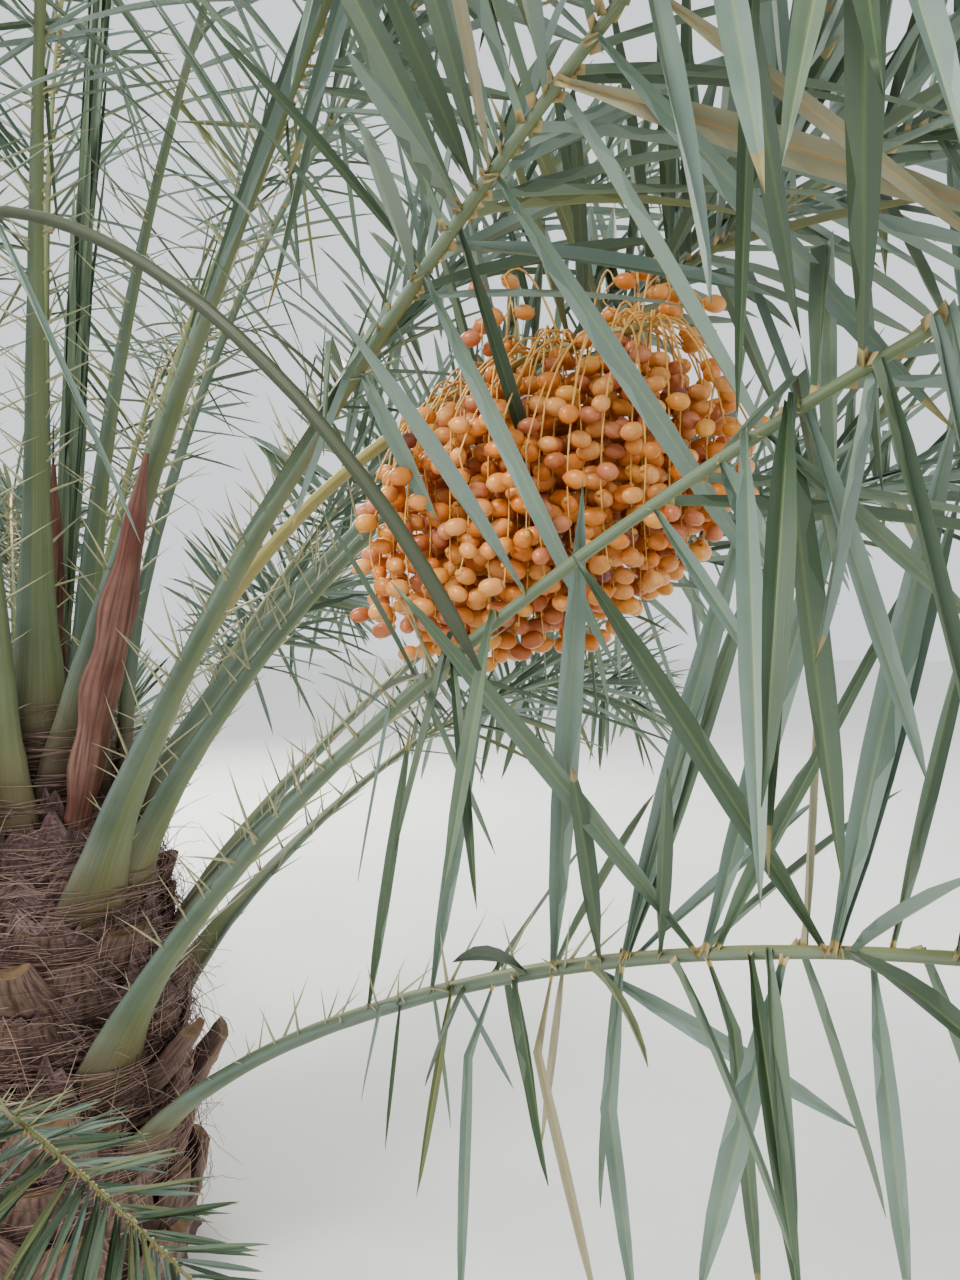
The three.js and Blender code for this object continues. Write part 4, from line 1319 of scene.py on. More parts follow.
def leaflets_on(frond, number, draw):
    """Groups of two or three leaflets along both edges of a rib, each in its own stance."""
    habit = habit_of(number)
    first = habit["first"] * frond.length
    scale = mix(SHORT_FROND_SPACING, 1, frond.length / FULL_LENGTH)
    groups = int((frond.length - first) / (habit["spacing"] * scale))
    scatter = habit["scatter"]
    sets = []
    for way in (-1, 1):
        for member in range(math.ceil(habit["members"])):
            spot = (np.arange(groups) + 0.5 + EDGE_STAGGER * way) / groups
            order = (np.arange(groups) + member + (way > 0)) % len(LEAFLET_STANCES)
            above = scatter * np.array(LEAFLET_STANCES)[order] + (way > 0) * habit["upright"]
            above = above + scatter * LEAFLET_SCATTER * draw.normal(size=groups)
            along = first + spot * (frond.length - first)
            along = along + (member - 1) * GROUP_STEP
            along = along + draw.uniform(-GROUP_STRAY, GROUP_STRAY, groups)
            along = np.clip(along, first, frond.length - BARE_TIP)
            kept = draw.random(groups) < habit["members"] - member
            leafy = (along - first) / (frond.length - first)
            angle = mix(LEAFLET_ANGLE_FIRST, LEAFLET_ANGLE_LAST, leafy**LEAFLET_ANGLE_POWER)
            angle = angle + ANGLE_SCATTER * scatter * draw.normal(size=groups)
            angle = np.radians(angle)[:, None]
            above = np.radians(above)[:, None]
            at = frond.at(along)
            start = unit(
                at.ahead * np.cos(above) * np.cos(angle)
                + at.side * way * np.cos(above) * np.sin(angle)
                + at.up * np.sin(above)
            )
            upper = square_to(at.up + UPPER_LEAN * at.ahead, start)
            roll = draw.normal(0, ROLL_SCATTER * scatter, groups)[:, None]
            upper = upper * np.cos(roll) + np.cross(start, upper) * np.sin(roll)
            edge = at.side * way * at.width[:, None] * FOOT_ACROSS
            edge = edge + at.up * at.thickness[:, None] * FOOT_ABOVE
            length = leaflet_length(frond, leafy) * draw.uniform(*LEAFLET_LENGTHS, groups)
            length = length * habit["long"] * (habit["far"] if way > 0 else 1)
            narrow = mix(NARROWEST, 1, np.clip(leafy / NARROW_SHARE, 0, 1)) * habit["wide"]
            width = LEAFLET_WIDTH * (length / LEAFLET_LENGTH) ** 0.5
            width = width * draw.uniform(*LEAFLET_WIDTHS, groups)
            kinked = draw.random(groups) < habit["kinked"]
            kink = np.where(kinked, draw.choice(KINK_SHARES, groups), NO_KINK)
            lean = start * [HANG_LEAN, HANG_LEAN, 0] + draw.normal(0, HANG_SCATTER, (groups, 3))
            sets.append(
                Leaflets(
                    root=at.point + edge,
                    start=start,
                    upper=upper,
                    length=length,
                    width=width * narrow,
                    droop=scatter * draw.gamma(*DROOP, groups) * length / LEAFLET_LENGTH,
                    kink=kink,
                    hang=unit(lean + [0, 0, -1]),
                    twist=draw.normal(0, TWIST_SCATTER * scatter, groups),
                ).chosen(kept)
            )
    return joined_leaflets(sets)


def shown_leaflets(frond, leaves):
    keys = ("along", "length", "width", "start", "kink", "hang")
    sizes = {key: np.array([leaf[key] for leaf in leaves], float) for key in keys}
    at = frond.at(sizes["along"])
    start, hang = unit(sizes["start"]), unit(sizes["hang"])
    nothing = np.zeros(len(start))
    return Leaflets(
        root=at.point - at.side * at.width[:, None] * FOOT_ACROSS,
        start=start,
        upper=square_to(np.array(CAMERA_PLACE) - at.point, start),
        length=sizes["length"],
        width=sizes["width"],
        droop=nothing + SHOWN_DROOP,
        kink=sizes["kink"],
        hang=hang,
        twist=nothing + SHOWN_TWIST,
    )


def with_room(leaflets, owner, rods):
    """The leaflets at the longest share of their length that clears the limbs, or none."""
    placed = []
    for share in LEAFLET_SHARES:
        points, _ = leaflets.paths()
        points = points[:, 2::2]
        points = leaflets.root[:, None] + share * (points - leaflets.root[:, None])
        starts, ends = points[:, :-1].reshape(-1, 3), points[:, 1:].reshape(-1, 3)
        radii = np.full(len(starts), LEAFLET_RADIUS)
        clear = rods.clear(owner, starts, ends, radii, radii / 2)
        clear = clear.reshape(len(points), points.shape[1] - 1).all(axis=1)
        fitting = leaflets.chosen(clear)
        fitting.length = fitting.length * share
        placed.append(fitting)
        leaflets = leaflets.chosen(~clear)
    return joined_leaflets(placed)


def from_viewer(leaflets):
    points, _ = leaflets.paths()
    return np.linalg.norm(points - CAMERA_PLACE, axis=-1).min(axis=1)


def opened(leaflets, draw):
    """Thins the leaflets where the view through the crown is open and clears the viewer's place."""
    points, _ = leaflets.paths()
    x, y, depth = seen_at(points[:, 3:])
    kept = from_viewer(leaflets) > NEAREST_LEAF
    for opening in OPENINGS:
        (left, top), (wide, high) = opening["middle"], opening["reach"]
        inside = ((x - left) / wide) ** 2 + ((y - top) / high) ** 2 < 1
        crossing = (inside & (depth > 0.05) & (depth < opening["depth"])).any(axis=1)
        kept &= ~crossing | (draw.random(len(kept)) < opening["kept"])
        leaflets.width = np.where(crossing, leaflets.width * opening["slimness"], leaflets.width)
    return leaflets.chosen(kept)


# Shares of the tones, in their order: young fronds are blue with bloom, old ones deep green and
# partly dry. The feet of the fronds tell their age.
YOUNG_TONES = np.array([0.5, 0.3, 0.16, 0.07, 0.002])
OLD_TONES = np.array([0.2, 0.3, 0.36, 0.07, 0.02])
LOWEST_FOOT = 0.17
FEET_RANGE = 0.73

# Slots of a leaflet's surfaces, and the slot of each of its four faces
ABOVE, BELOW, FOOT, TIP = range(4)
LEAF_FACES = [[[ABOVE, ABOVE, BELOW, BELOW]]]
# The share of leaflets with a dry tip, the width that a dry leaflet keeps, and where leaflets kink
# that hang because they are near the viewer
DRY_TIPS = 0.22
DRY_SLIMNESS = 0.6
HANGING_KINK = 0.05


def tone_shares(frond):
    age = 1 - (frond.foot - LOWEST_FOOT) / FEET_RANGE
    shares = mix(YOUNG_TONES, OLD_TONES, age)
    return shares / shares.sum()


def make_leaflets(fronds, rods):
    draw = np.random.default_rng(LEAFLET_SEED)
    for part, numbers in LEAFLET_PARTS.items():
        surfaces = {tone: Surface() for tone in TONE_NAMES}
        for number in numbers:
            frond = fronds[number]
            leaflets = leaflets_on(frond, number, draw)
            close = from_viewer(leaflets) < HANG_WITHIN
            leaflets.kink = np.where(close, HANGING_KINK, leaflets.kink)
            leaflets = opened(with_room(leaflets, number, rods), draw)
            tones = draw.choice(len(TONE_NAMES), len(leaflets.length), p=tone_shares(frond))
            if number in SHOWN_LEAFLETS:
                leaves = SHOWN_LEAFLETS[number]
                leaflets = joined_leaflets([leaflets, shown_leaflets(frond, leaves)])
                tones = np.append(tones, [TONE_NAMES.index(leaf["tone"]) for leaf in leaves])
            amount = len(leaflets.length)
            dry = tones == TONE_NAMES.index("dry")
            leaflets.width = np.where(dry, DRY_SLIMNESS * leaflets.width, leaflets.width)
            dry_tip = draw.random(amount) < DRY_TIPS
            rings = leaflets.rings()
            slots = np.tile(LEAF_FACES, (amount, len(RING_SHARES) - 1, 1))
            slots[dry_tip, -1] = TIP
            slots[:, 0] = FOOT
            for index, tone in enumerate(TONE_NAMES):
                chosen = tones == index
                surfaces[tone].add_tubes(
                    rings[chosen], slots[chosen], BLADE_U_FROM, BLADE_U_TO, v=RING_SHARES
                )
        for tone, surface in surfaces.items():
            above, below = LEAF_FINISHES[tone]
            finishes = [above, below, LEAF_FOOT, LEAF_TIP]
            piece = surface.make(f"leaflets_{tone}_{part}", finishes, sharp_corners=(0, 1, 2, 3))
            on_palm(piece, "leaflets")


# Spear

SPEAR_STATIONS = 40
SPEAR_PLEATS = 7
SPEAR_PLEAT_DEPTH = 0.12
SPEAR_SLIMNESS = ([0, 0.3, 0.7, 1], [1, 0.9, 0.66, 0.2])
SPEAR_LEAFLETS = 46
SPEAR_LEAFLET_ROOTS = (0.12, 0.86)
SPEAR_LEAFLET_SPREAD = (0.5, 3.2)
SPEAR_LEAFLET_LENGTH = 0.5
SPEAR_LEAFLET_LENGTHS = (0.85, 1)
SPEAR_LEAFLET_WIDTH = 0.019
SPEAR_LEAFLET_TWIST = 0.3
# Where the leaflets' feet stand, as a share of the spear's width
SPEAR_LEAFLET_DEPTH = 0.34


def make_spear(spear):
    draw = np.random.default_rng(SPEAR_SEED)
    along = spear.length * np.linspace(0, 1, SPEAR_STATIONS)
    stations = spear.at(along)
    angles = round_angles(2 * SPEAR_PLEATS)
    pleats = 1 + SPEAR_PLEAT_DEPTH * np.cos(SPEAR_PLEATS * angles)
    slim = np.interp(along / spear.length, *SPEAR_SLIMNESS)[:, None]
    across, above = (0.5 * waves * pleats * slim for waves in (np.cos(angles), np.sin(angles)))
    rings = place_sections(stations, across, above)
    above_finish, below_finish = LEAF_FINISHES["grey_green"]
    core = make_tube("spear_core", rings, [below_finish], v=along / spear.length)
    on_palm(core, "spear_leaf", "spear")
    share = np.linspace(*SPEAR_LEAFLET_ROOTS, SPEAR_LEAFLETS)
    at = spear.at(share * spear.length)
    turn = np.radians(GOLDEN_ANGLE * np.arange(SPEAR_LEAFLETS))[:, None]
    outwards = at.side * np.cos(turn) + at.up * np.sin(turn)
    spread = np.radians(draw.uniform(*SPEAR_LEAFLET_SPREAD, SPEAR_LEAFLETS))[:, None]
    length = np.minimum(SPEAR_LEAFLET_LENGTH, (1 - share) * spear.length)
    length = length * draw.uniform(*SPEAR_LEAFLET_LENGTHS, SPEAR_LEAFLETS)
    folded = Leaflets(
        root=at.point + outwards * at.width[:, None] * SPEAR_LEAFLET_DEPTH,
        start=unit(at.ahead * np.cos(spread) + outwards * np.sin(spread)),
        upper=square_to(outwards, at.ahead),
        length=length,
        width=np.full(SPEAR_LEAFLETS, SPEAR_LEAFLET_WIDTH),
        droop=np.zeros(SPEAR_LEAFLETS),
        kink=np.full(SPEAR_LEAFLETS, NO_KINK),
        hang=at.ahead,
        twist=draw.normal(0, SPEAR_LEAFLET_TWIST, SPEAR_LEAFLETS),
    )
    surface = Surface()
    surface.add_tubes(folded.rings(), LEAF_FACES, BLADE_U_FROM, BLADE_U_TO, v=RING_SHARES)
    piece = surface.make("spear_leaflets", [above_finish, below_finish], sharp_corners=(0, 1, 2, 3))
    on_palm(piece, "spear_leaf")


# Dry spathes

SPATHE_STATIONS = 40
SPATHE_CORNERS = 24
# Half the angle that the shell goes round, the middle of its round above the limb's line, how deep
# it is, and its wall
SPATHE_TURN = 74
SPATHE_CENTRE = 0.55
SPATHE_DEPTH = 0.9
SPATHE_WALL = ([0, 0.2, 0.8, 1], [0.16, 0.075, 0.06, 0.02])
# Waves of the edges, along the spathe and on its whole shape
RIPPLE_DEPTH = 0.07
RIPPLES = 31
SPATHE_WARP = 0.006
SPATHE_WARP_LENGTH = 0.3


def make_spathe(spathe, number):
    """A woody boat shape, hollow towards the trunk, with wavy split edges."""
    along = spathe.length * np.linspace(0, 1, SPATHE_STATIONS)
    stations = spathe.at(along)
    half = SPATHE_CORNERS // 2
    turn = np.radians(np.linspace(-SPATHE_TURN, SPATHE_TURN, half))
    share = along / spathe.length
    wall = np.interp(share, *SPATHE_WALL)[:, None]
    waves = np.sin(share * RIPPLES + number)[:, None]
    ripple = RIPPLE_DEPTH * waves * np.abs(np.sin(turn)) ** 3
    outer_across = np.sin(turn) * (0.5 + ripple)
    outer_above = SPATHE_CENTRE - np.cos(turn) * SPATHE_DEPTH + ripple
    inner_across = np.sin(turn[::-1]) * (0.5 - wall)
    inner_above = SPATHE_CENTRE - np.cos(turn[::-1]) * (SPATHE_DEPTH - 2 * wall) + ripple[:, ::-1]
    across = np.concatenate([outer_across, inner_across], axis=1)
    above = np.concatenate([outer_above, inner_above], axis=1)
    stations.thickness = stations.width * 0.5
    rings = place_sections(stations, across, above)
    warp = Noise(SPATHE_SEED + number, SPATHE_WARP_LENGTH)
    rings = rings + stations.side[:, None] * SPATHE_WARP * warp(rings)[..., None]
    piece = make_tube(f"spathe_{number + 1}", rings, [SPATHE_FINISH], v=share)
    on_palm(piece, "dry_spathe", f"dry_spathe_{number + 1}")


# Fruit

DATE_ROOM = 0.0245
DATE_HOLD = 0.0162
DATE_PITCH = 0.0236
STRAND_ROOM = 0.003

# Settling: rounds, shares of each overlap that the dates, the strands and their old lines take up,
# and the longest push out of a limb in one round
SETTLE_ROUNDS = 60
PUSH_APART = 0.35
PULL_ON_DATE = 0.65
PULL_ON_STRAND = 0.35
PULL_BACK = 0.04
LONGEST_PUSH = 0.02

# The bunch's outline: an egg that leans up along its stalk, and small clusters that stand above it,
# as middle and half height
BUNCH_MIDDLE = np.array([0.955, -0.585, 1.385])
BUNCH_RADII = np.array([0.258, 0.185, 0.192])
BUNCH_CLIMB = 0.28
HIGH_CLUSTERS = [
    ((0.862, -0.600, 1.640), 0.030),
    ((0.892, -0.628, 1.652), 0.028),
    ((0.905, -0.590, 1.625), 0.022),
    ((0.875, -0.560, 1.622), 0.020),
    ((1.040, -0.610, 1.660), 0.020),
    ((1.072, -0.580, 1.676), 0.026),
    ((1.104, -0.612, 1.668), 0.030),
    ((1.136, -0.580, 1.650), 0.030),
    ((1.160, -0.606, 1.628), 0.026),
]
BUNCH_STALK_STATIONS = 60
BUNCH_STALK_CORNERS = 14
BUNCH_STALK_SQUARES = (0.7, 0.8)
BUNCH_STALK_TIP_SHARE = 0.4
STRAND_COUNT = 106
ARC_STEPS = 10
HANG_STEPS = 24
ARC_RISE = 0.085
# The crest of the arc lies this share of the way from the strand's root to its top
CREST_SHARE = 0.62
STRAND_ROOTS = 25
ROOT_STRAY = 3
STRAND_SWING = 0.008
# How the columns of dates shorten towards the bunch's rim, and how their heights stray
RIM_FALL = 0.94
COLUMN_HEIGHTS = (0.82, 1.08)
# The turn from one date of a strand to the next, as a share of a round, and how the settled dates
# point: mostly sideways in x, and a little down
DATE_TURN = 0.38
DATE_AIM = [1.35, 0.7, 0.6]
DATE_SINK = [0, 0, -0.003]
STRAND_SIDES = 6

# A date and its cap, as radii and heights in shares of the date's width and length
DATE_PROFILE = [
    (0.06, -0.5),
    (0.29, -0.45),
    (0.44, -0.28),
    (0.5, -0.02),
    (0.46, 0.2),
    (0.33, 0.38),
    (0.15, 0.475),
    (0.02, 0.5),
]
DATE_SIDES = 10
DATE_SIZES = (0.88, 1.07)
CAP_PROFILE = [(0.1, -0.6), (0.2, -0.53), (0.15, -0.44)]
CAP_SIDES = 6
NEAR_BUNCH = 0.7


def bunch_columns(draw):
    """Where each strand hangs: the middle of its dates and half their height."""
    spread = np.sqrt((np.arange(STRAND_COUNT) + 0.5) / STRAND_COUNT)
    turn = np.radians(GOLDEN_ANGLE * np.arange(STRAND_COUNT))
    across = np.stack([np.cos(turn), np.sin(turn), 0 * turn], axis=1) * spread[:, None]
    middles = BUNCH_MIDDLE + across * BUNCH_RADII
    middles[:, 2] += BUNCH_CLIMB * (middles[:, 0] - BUNCH_MIDDLE[0])
    half = BUNCH_RADII[2] * np.sqrt(1 - RIM_FALL * spread**2)
    half = half * draw.uniform(*COLUMN_HEIGHTS, STRAND_COUNT)
    middles = np.concatenate([middles, [middle for middle, _ in HIGH_CLUSTERS]])
    return middles, np.append(half, [high for _, high in HIGH_CLUSTERS])


def strand_paths(fruit, middles, half, draw):
    """Strands that leave the stalk, rise in an arc and hang down through their dates."""
    roots = fruit.at(fruit.length * np.linspace(STRANDS_START, 1, STRAND_ROOTS)).point
    apart = np.linalg.norm((roots[None] - middles[:, None])[..., :2], axis=-1)
    nearest = apart.argmin(axis=1) + draw.integers(-ROOT_STRAY, ROOT_STRAY + 1, len(middles))
    root = roots[np.clip(nearest, 0, len(roots) - 1)]
    top = middles + half[:, None] * [0, 0, 1]
    bottom = middles - half[:, None] * [0, 0, 1]
    crest = mix(root, top, CREST_SHARE) + [0, 0, ARC_RISE]
    share = (np.arange(ARC_STEPS + 1) / ARC_STEPS)[None, :, None]
    arc = (1 - share) ** 2 * root[:, None]
    arc = arc + 2 * share * (1 - share) * crest[:, None] + share**2 * top[:, None]
    share = (np.arange(1, HANG_STEPS + 1) / HANG_STEPS)[None, :, None]
    swing = draw.normal(0, STRAND_SWING, (len(middles), 1, 3))
    swing = np.sin(np.pi * share) * swing * [1, 1, 0]
    return np.concatenate([arc, mix(top[:, None], bottom[:, None], share) + swing], axis=1)


def pushed_out(points, rods, room):
    """Points moved out of the rods that they are too near to."""
    v = rods.ends - rods.starts
    w = points[:, None] - rods.starts[None]
    t = np.clip((w * v).sum(-1) / (v * v).sum(-1), 0, 1)[..., None]
    apart = w - t * v
    distance = np.linalg.norm(apart, axis=-1)
    short = room + mix(rods.radii, rods.tip_radii, t[..., 0]) - distance
    nearest = short.argmax(axis=1)
    rows = np.arange(len(points))
    push = np.clip(short[rows, nearest], 0, LONGEST_PUSH)
    push = push / np.maximum(distance[rows, nearest], 1e-6)
    return points + apart[rows, nearest] * push[:, None]


def near_bunch(rods, centre, reach):
    near = Rods()
    middle = (rods.starts + rods.ends) / 2
    chosen = np.linalg.norm(middle - centre, axis=1) < reach
    for name in Rods.FIELDS:
        setattr(near, name, getattr(rods, name)[chosen])
    return near


def settle(paths, anchors, centres, rods):
    """Lets the dates push each other apart while they hold on to their strands."""
    rest = paths.copy()
    strand, knot = anchors
    lengths = np.linalg.norm(np.diff(paths, axis=1), axis=-1)
    shape = paths.shape
    for _ in range(SETTLE_ROUNDS):
        apart = centres[:, None] - centres[None]
        distance = np.linalg.norm(apart, axis=-1) + 10 * np.eye(len(centres))
        push = np.clip(DATE_ROOM - distance, 0, None) / distance * PUSH_APART
        centres = centres + (apart * push[..., None]).sum(axis=1)
        centres = pushed_out(centres, rods, DATE_WIDTH / 2)
        held = paths[strand, knot]
        offset = centres - held
        far = np.linalg.norm(offset, axis=-1, keepdims=True)
        excess = offset * (far - DATE_HOLD) / np.maximum(far, 1e-6)
        centres = centres - PULL_ON_DATE * excess
        np.add.at(paths, (strand, knot), PULL_ON_STRAND * excess)
        paths = paths + PULL_BACK * (rest - paths)
        paths = pushed_out(paths.reshape(-1, 3), rods, STRAND_ROOM).reshape(shape)
        paths[:, 0] = rest[:, 0]
        for step in range(1, shape[1]):
            link = paths[:, step] - paths[:, step - 1]
            paths[:, step] = paths[:, step - 1] + unit(link) * lengths[:, step - 1, None]
    return paths, centres


def make_bunch_stalk(fruit):
    along = np.linspace(0, fruit.length, BUNCH_STALK_STATIONS)
    stations = fruit.at(along)
    angles = round_angles(BUNCH_STALK_CORNERS)
    section = map(bulged, (np.cos(angles), np.sin(angles)), BUNCH_STALK_SQUARES)
    rings = place_sections(stations, *(np.tile(waves, (len(along), 1)) for waves in section))
    rings[-1] = mix(stations.point[-1], rings[-1], BUNCH_STALK_TIP_SHARE)
    stalk = make_tube("bunch_stalk", rings, [FRUIT_STALK_FINISH], v=along / fruit.length)
    on_palm(stalk, "fruit_stalk", "fruit_stalk")


def make_fruit(fruit, rods):
    draw = np.random.default_rng(FRUIT_SEED)
    make_bunch_stalk(fruit)
    middles, half = bunch_columns(draw)
    paths = strand_paths(fruit, middles, half, draw)
    steps = ARC_STEPS + HANG_STEPS

    strand, knot = [], []
    for index, high in enumerate(half):
        amount = max(2, round(2 * high / DATE_PITCH))
        knots = np.linspace(ARC_STEPS, steps, amount).round().astype(int)
        strand.append(np.full(amount, index))
        knot.append(knots)
    strand, knot = np.concatenate(strand), np.concatenate(knot)
    turn = 2 * np.pi * (draw.random(len(half))[strand] + DATE_TURN * np.arange(len(knot)))
    axis = unit(on_circles(1, turn, -DATE_DROOP))
    centres = paths[strand, knot] + axis * DATE_HOLD
    bunch = near_bunch(rods, centres.mean(axis=0), NEAR_BUNCH)
    paths, centres = settle(paths, (strand, knot), centres, bunch)
    axis = unit((centres - paths[strand, knot]) * DATE_AIM + DATE_SINK)

    thickness = np.linspace(STRAND_THICKNESS, STRAND_THICKNESS * 0.5, steps + 1) / 2
    threads = grow_threads("date_strands", paths, thickness, STRAND_SIDES, STRAND_FINISH)
    on_palm(
        threads, "fruit_stalk", *(f"date_strands_{part}" for part in ("inner", "middle", "outer"))
    )
    pattern = turned_pattern("date_pattern", DATE_PROFILE, DATE_SIDES)
    cap_pattern = turned_pattern("cap_pattern", CAP_PROFILE, CAP_SIDES)
    size = draw.uniform(*DATE_SIZES, (len(knot), 1))
    sizes = size * np.array([DATE_WIDTH, DATE_WIDTH, DATE_LENGTH])
    spins = draw.uniform(0, 2 * np.pi, len(knot))
    tones = draw.choice(len(DATE_SHARES), len(knot), p=DATE_SHARES)
    for index, tone in enumerate(DATE_TONES):
        chosen = tones == index
        parts = (centres[chosen], axis[chosen], sizes[chosen], spins[chosen])
        dates = grow_on_points(f"dates_{tone}", *parts, pattern, DATE_FINISHES[tone])
        on_palm(dates, "dates")
    caps = grow_on_points("date_caps", centres, axis, sizes, spins, cap_pattern, CAP_FINISH)
    on_palm(caps, "dates")
    bpy.data.objects.remove(pattern)
    bpy.data.objects.remove(cap_pattern)
    return centres


# Trunk

TRUNK_CORNERS = 168
TRUNK_STATIONS = 120
SCALE_RISE = 0.105
SCALE_DEPTH = 0.020
SCALE_SPIRALS = (5, 8)
# The growing tip: where it starts, its height and its radius
TIP_START = 0.92
TIP_HEIGHT = 0.03
TIP_RADIUS = 0.1
THINNEST_TIP = 0.002
# Relief of the bark: depth and wavelength of two sizes of lumps, and of the fibres round the trunk,
# with how far and over what length those waver
BARK_LUMPS = ((0.004, 0.02), (0.006, 0.09))
BARK_FIBRES = 46
BARK_FIBRE_DEPTH = 0.0022
BARK_WAVER = 9
BARK_WAVER_LENGTH = 0.12


def make_trunk():
    heights = TRUNK_TOP * np.linspace(0, 1, TRUNK_STATIONS)
    height, angle = np.meshgrid(heights, round_angles(TRUNK_CORNERS), indexing="ij")
    radius = trunk_radius(height)
    above = np.clip((height - TIP_START) / TIP_HEIGHT, 0, 1)
    tip = TIP_RADIUS * np.sqrt(np.clip(1 - above**2, 0, 1)) + THINNEST_TIP
    radius = np.where(height > TIP_START, tip, radius)
    turn = angle / (2 * np.pi)
    climb = height / SCALE_RISE
    one = np.abs((SCALE_SPIRALS[0] * turn + climb) % 1 - 0.5) * 2
    other = np.abs((SCALE_SPIRALS[1] * turn - climb) % 1 - 0.5) * 2
    scales = (1 - np.maximum(one, other)) ** 0.6
    points = on_circles(radius, angle, height)
    fine, broad = (
        depth * Noise(BARK_SEED + number, wavelength)(points)
        for number, (depth, wavelength) in enumerate(BARK_LUMPS)
    )
    rough = fine + broad
    waver = BARK_WAVER * Noise(BARK_SEED + 2, BARK_WAVER_LENGTH)(points)
    fibres = BARK_FIBRE_DEPTH * np.sin(np.pi * BARK_FIBRES * turn * 2 + waver)
    radius = radius - SCALE_DEPTH * (1 - scales) + rough + fibres
    radius = np.maximum(radius, THINNEST_TIP)
    rings = on_circles(radius, angle, height)
    on_palm(make_tube("trunk_core", rings, [BARK], v=heights), "trunk_bark", "trunk")


# Leaf bases: their stations, corners and section, wavelengths and depths of wear and roughness, how
# much the cut slants and the ring before it, and the depth and share of the width of the two steps
# of its sunken face
BASE_STATIONS = 14
BASE_CORNERS = 20
BASE_SQUARE = 0.8
BASE_HOLLOW = 0.42
WEAR_LENGTH = 0.03
WEAR_DEPTH = 0.003
ROUGHNESS_LENGTH = 0.008
ROUGHNESS_DEPTH = 0.0012
CUT_SLANT = 0.35
SLANT_BEFORE_CUT = 0.5
CUT_FACES = ((0.006, 0.82), (0.01, 0.2))
LOWEST_BARK = 0.001


def boot_sections(share):
    """Sections of a leaf base: hollow above, round below, with thin edges."""
    angles = round_angles(BASE_CORNERS)
    across, sine = bulged(np.cos(angles), BASE_SQUARE), np.sin(angles)
    dip = BASE_HOLLOW * (1 - (2 * across) ** 2)
    above = np.where(sine > 0, 0.5 * sine - dip, 0.5 * sine)
    return np.repeat(across[None], len(share), axis=0), np.repeat(above[None], len(share), axis=0)


def make_boots_piece(boots, name, seed, flare):
    draw = np.random.default_rng(seed)
    surface = Surface()
    worn = Noise(seed + 1, WEAR_LENGTH)
    rough = Noise(seed + 2, ROUGHNESS_LENGTH)
    share = np.linspace(0, 1, BASE_STATIONS)
    for boot in boots:
        stations = boot.at(share * boot.length)
        widen = 1 + flare * (1 - share) ** 2
        stations.width = stations.width * widen
        across, above = boot_sections(share)
        rings = place_sections(stations, across, above)
        outwards = unit(rings - stations.point[:, None] + 1e-9)
        relief = WEAR_DEPTH * worn(rings) + ROUGHNESS_DEPTH * rough(rings)
        rings = rings + outwards * relief[..., None]
        slant = draw.uniform(-CUT_SLANT, CUT_SLANT)
        sideways = ((rings[-1] - stations.point[-1]) * stations.side[-1]).sum(-1)
        rings[-1] += (slant * sideways)[:, None] * stations.ahead[-1]
        rings[-2] += (SLANT_BEFORE_CUT * slant * sideways)[:, None] * stations.ahead[-2]
        faces = [
            mix(stations.point[-1] - stations.ahead[-1] * depth, rings[-1], width)
            for depth, width in CUT_FACES
        ]
        rings = np.concatenate([rings, faces])
        slots = np.zeros((1, len(rings) - 1, rings.shape[1]), int)
        slots[:, -2:] = 1
        rings[..., 2] = np.maximum(rings[..., 2], LOWEST_BARK)
        surface.add_tubes(rings[None], slots, v=np.append(share, [1.0, 1.0]))
    on_palm(surface.make(name, [BOOT_FINISH, BOOT_CUT]), "trunk_bark")


# Worn leaf bases: how many, their feet, rises and lengths, and how far they stand off
STUB_COUNT = 84
STUB_FEET = (0.005, 0.66)
STUB_START = 61
STUB_RISES = (60, 76)
STUB_LENGTHS = (0.09, 0.15)
STUB_RISE_SEED = 500
STUB_LENGTH_SEED = 520
STUB_STANDS_OFF = 0.012
STUB_REACH = 0.03


def make_stubs(rods):
    """Short worn leaf bases that clad the trunk between the longer ones."""
    stubs = []
    for number in range(STUB_COUNT):
        foot = mix(*STUB_FEET, number / (STUB_COUNT - 1))
        azimuth = number * GOLDEN_ANGLE + STUB_START
        rise = mix(*STUB_RISES, chance(number + STUB_RISE_SEED))
        length = mix(*STUB_LENGTHS, chance(number + STUB_LENGTH_SEED))
        stub = Limb(boot_size, azimuth, foot, rise, bend=0, length=length, lift=0)
        stub.points = stub.points + STUB_STANDS_OFF * stub.ahead[0] * [1, 1, 0]
        ends = stub.at(np.array([0, length]))
        thin = np.full(1, STUB_REACH)
        air = rods.air(TRUNK_OWNER, ends.point[:1], ends.point[1:], thin, thin)
        if air[0] > 0:
            stubs.append(stub)
    return stubs


# The lowest fibre, and the height above which it keeps the trunk's radius
LOWEST_FIBRE = 0.004
HIGHEST_RADIUS = 0.9

# Collars of woven fibre, each as the height of its lower edge and how tall it stands
COLLARS = [
    (0.20, 0.16),
    (0.33, 0.17),
    (0.45, 0.17),
    (0.56, 0.18),
    (0.66, 0.17),
    (0.755, 0.16),
    (0.84, 0.13),
]
COLLAR_COLUMNS = 132
COLLAR_ROWS = 8
COLLAR_GAP = 0.010
COLLAR_FLARE = 0.035
COLLAR_CRUMPLE = 0.010
COLLAR_THICKNESS = 0.0025
# The ragged upper edge, as shares of the height: its middle and how far it strays
COLLAR_TOPS = (0.75, 0.35)


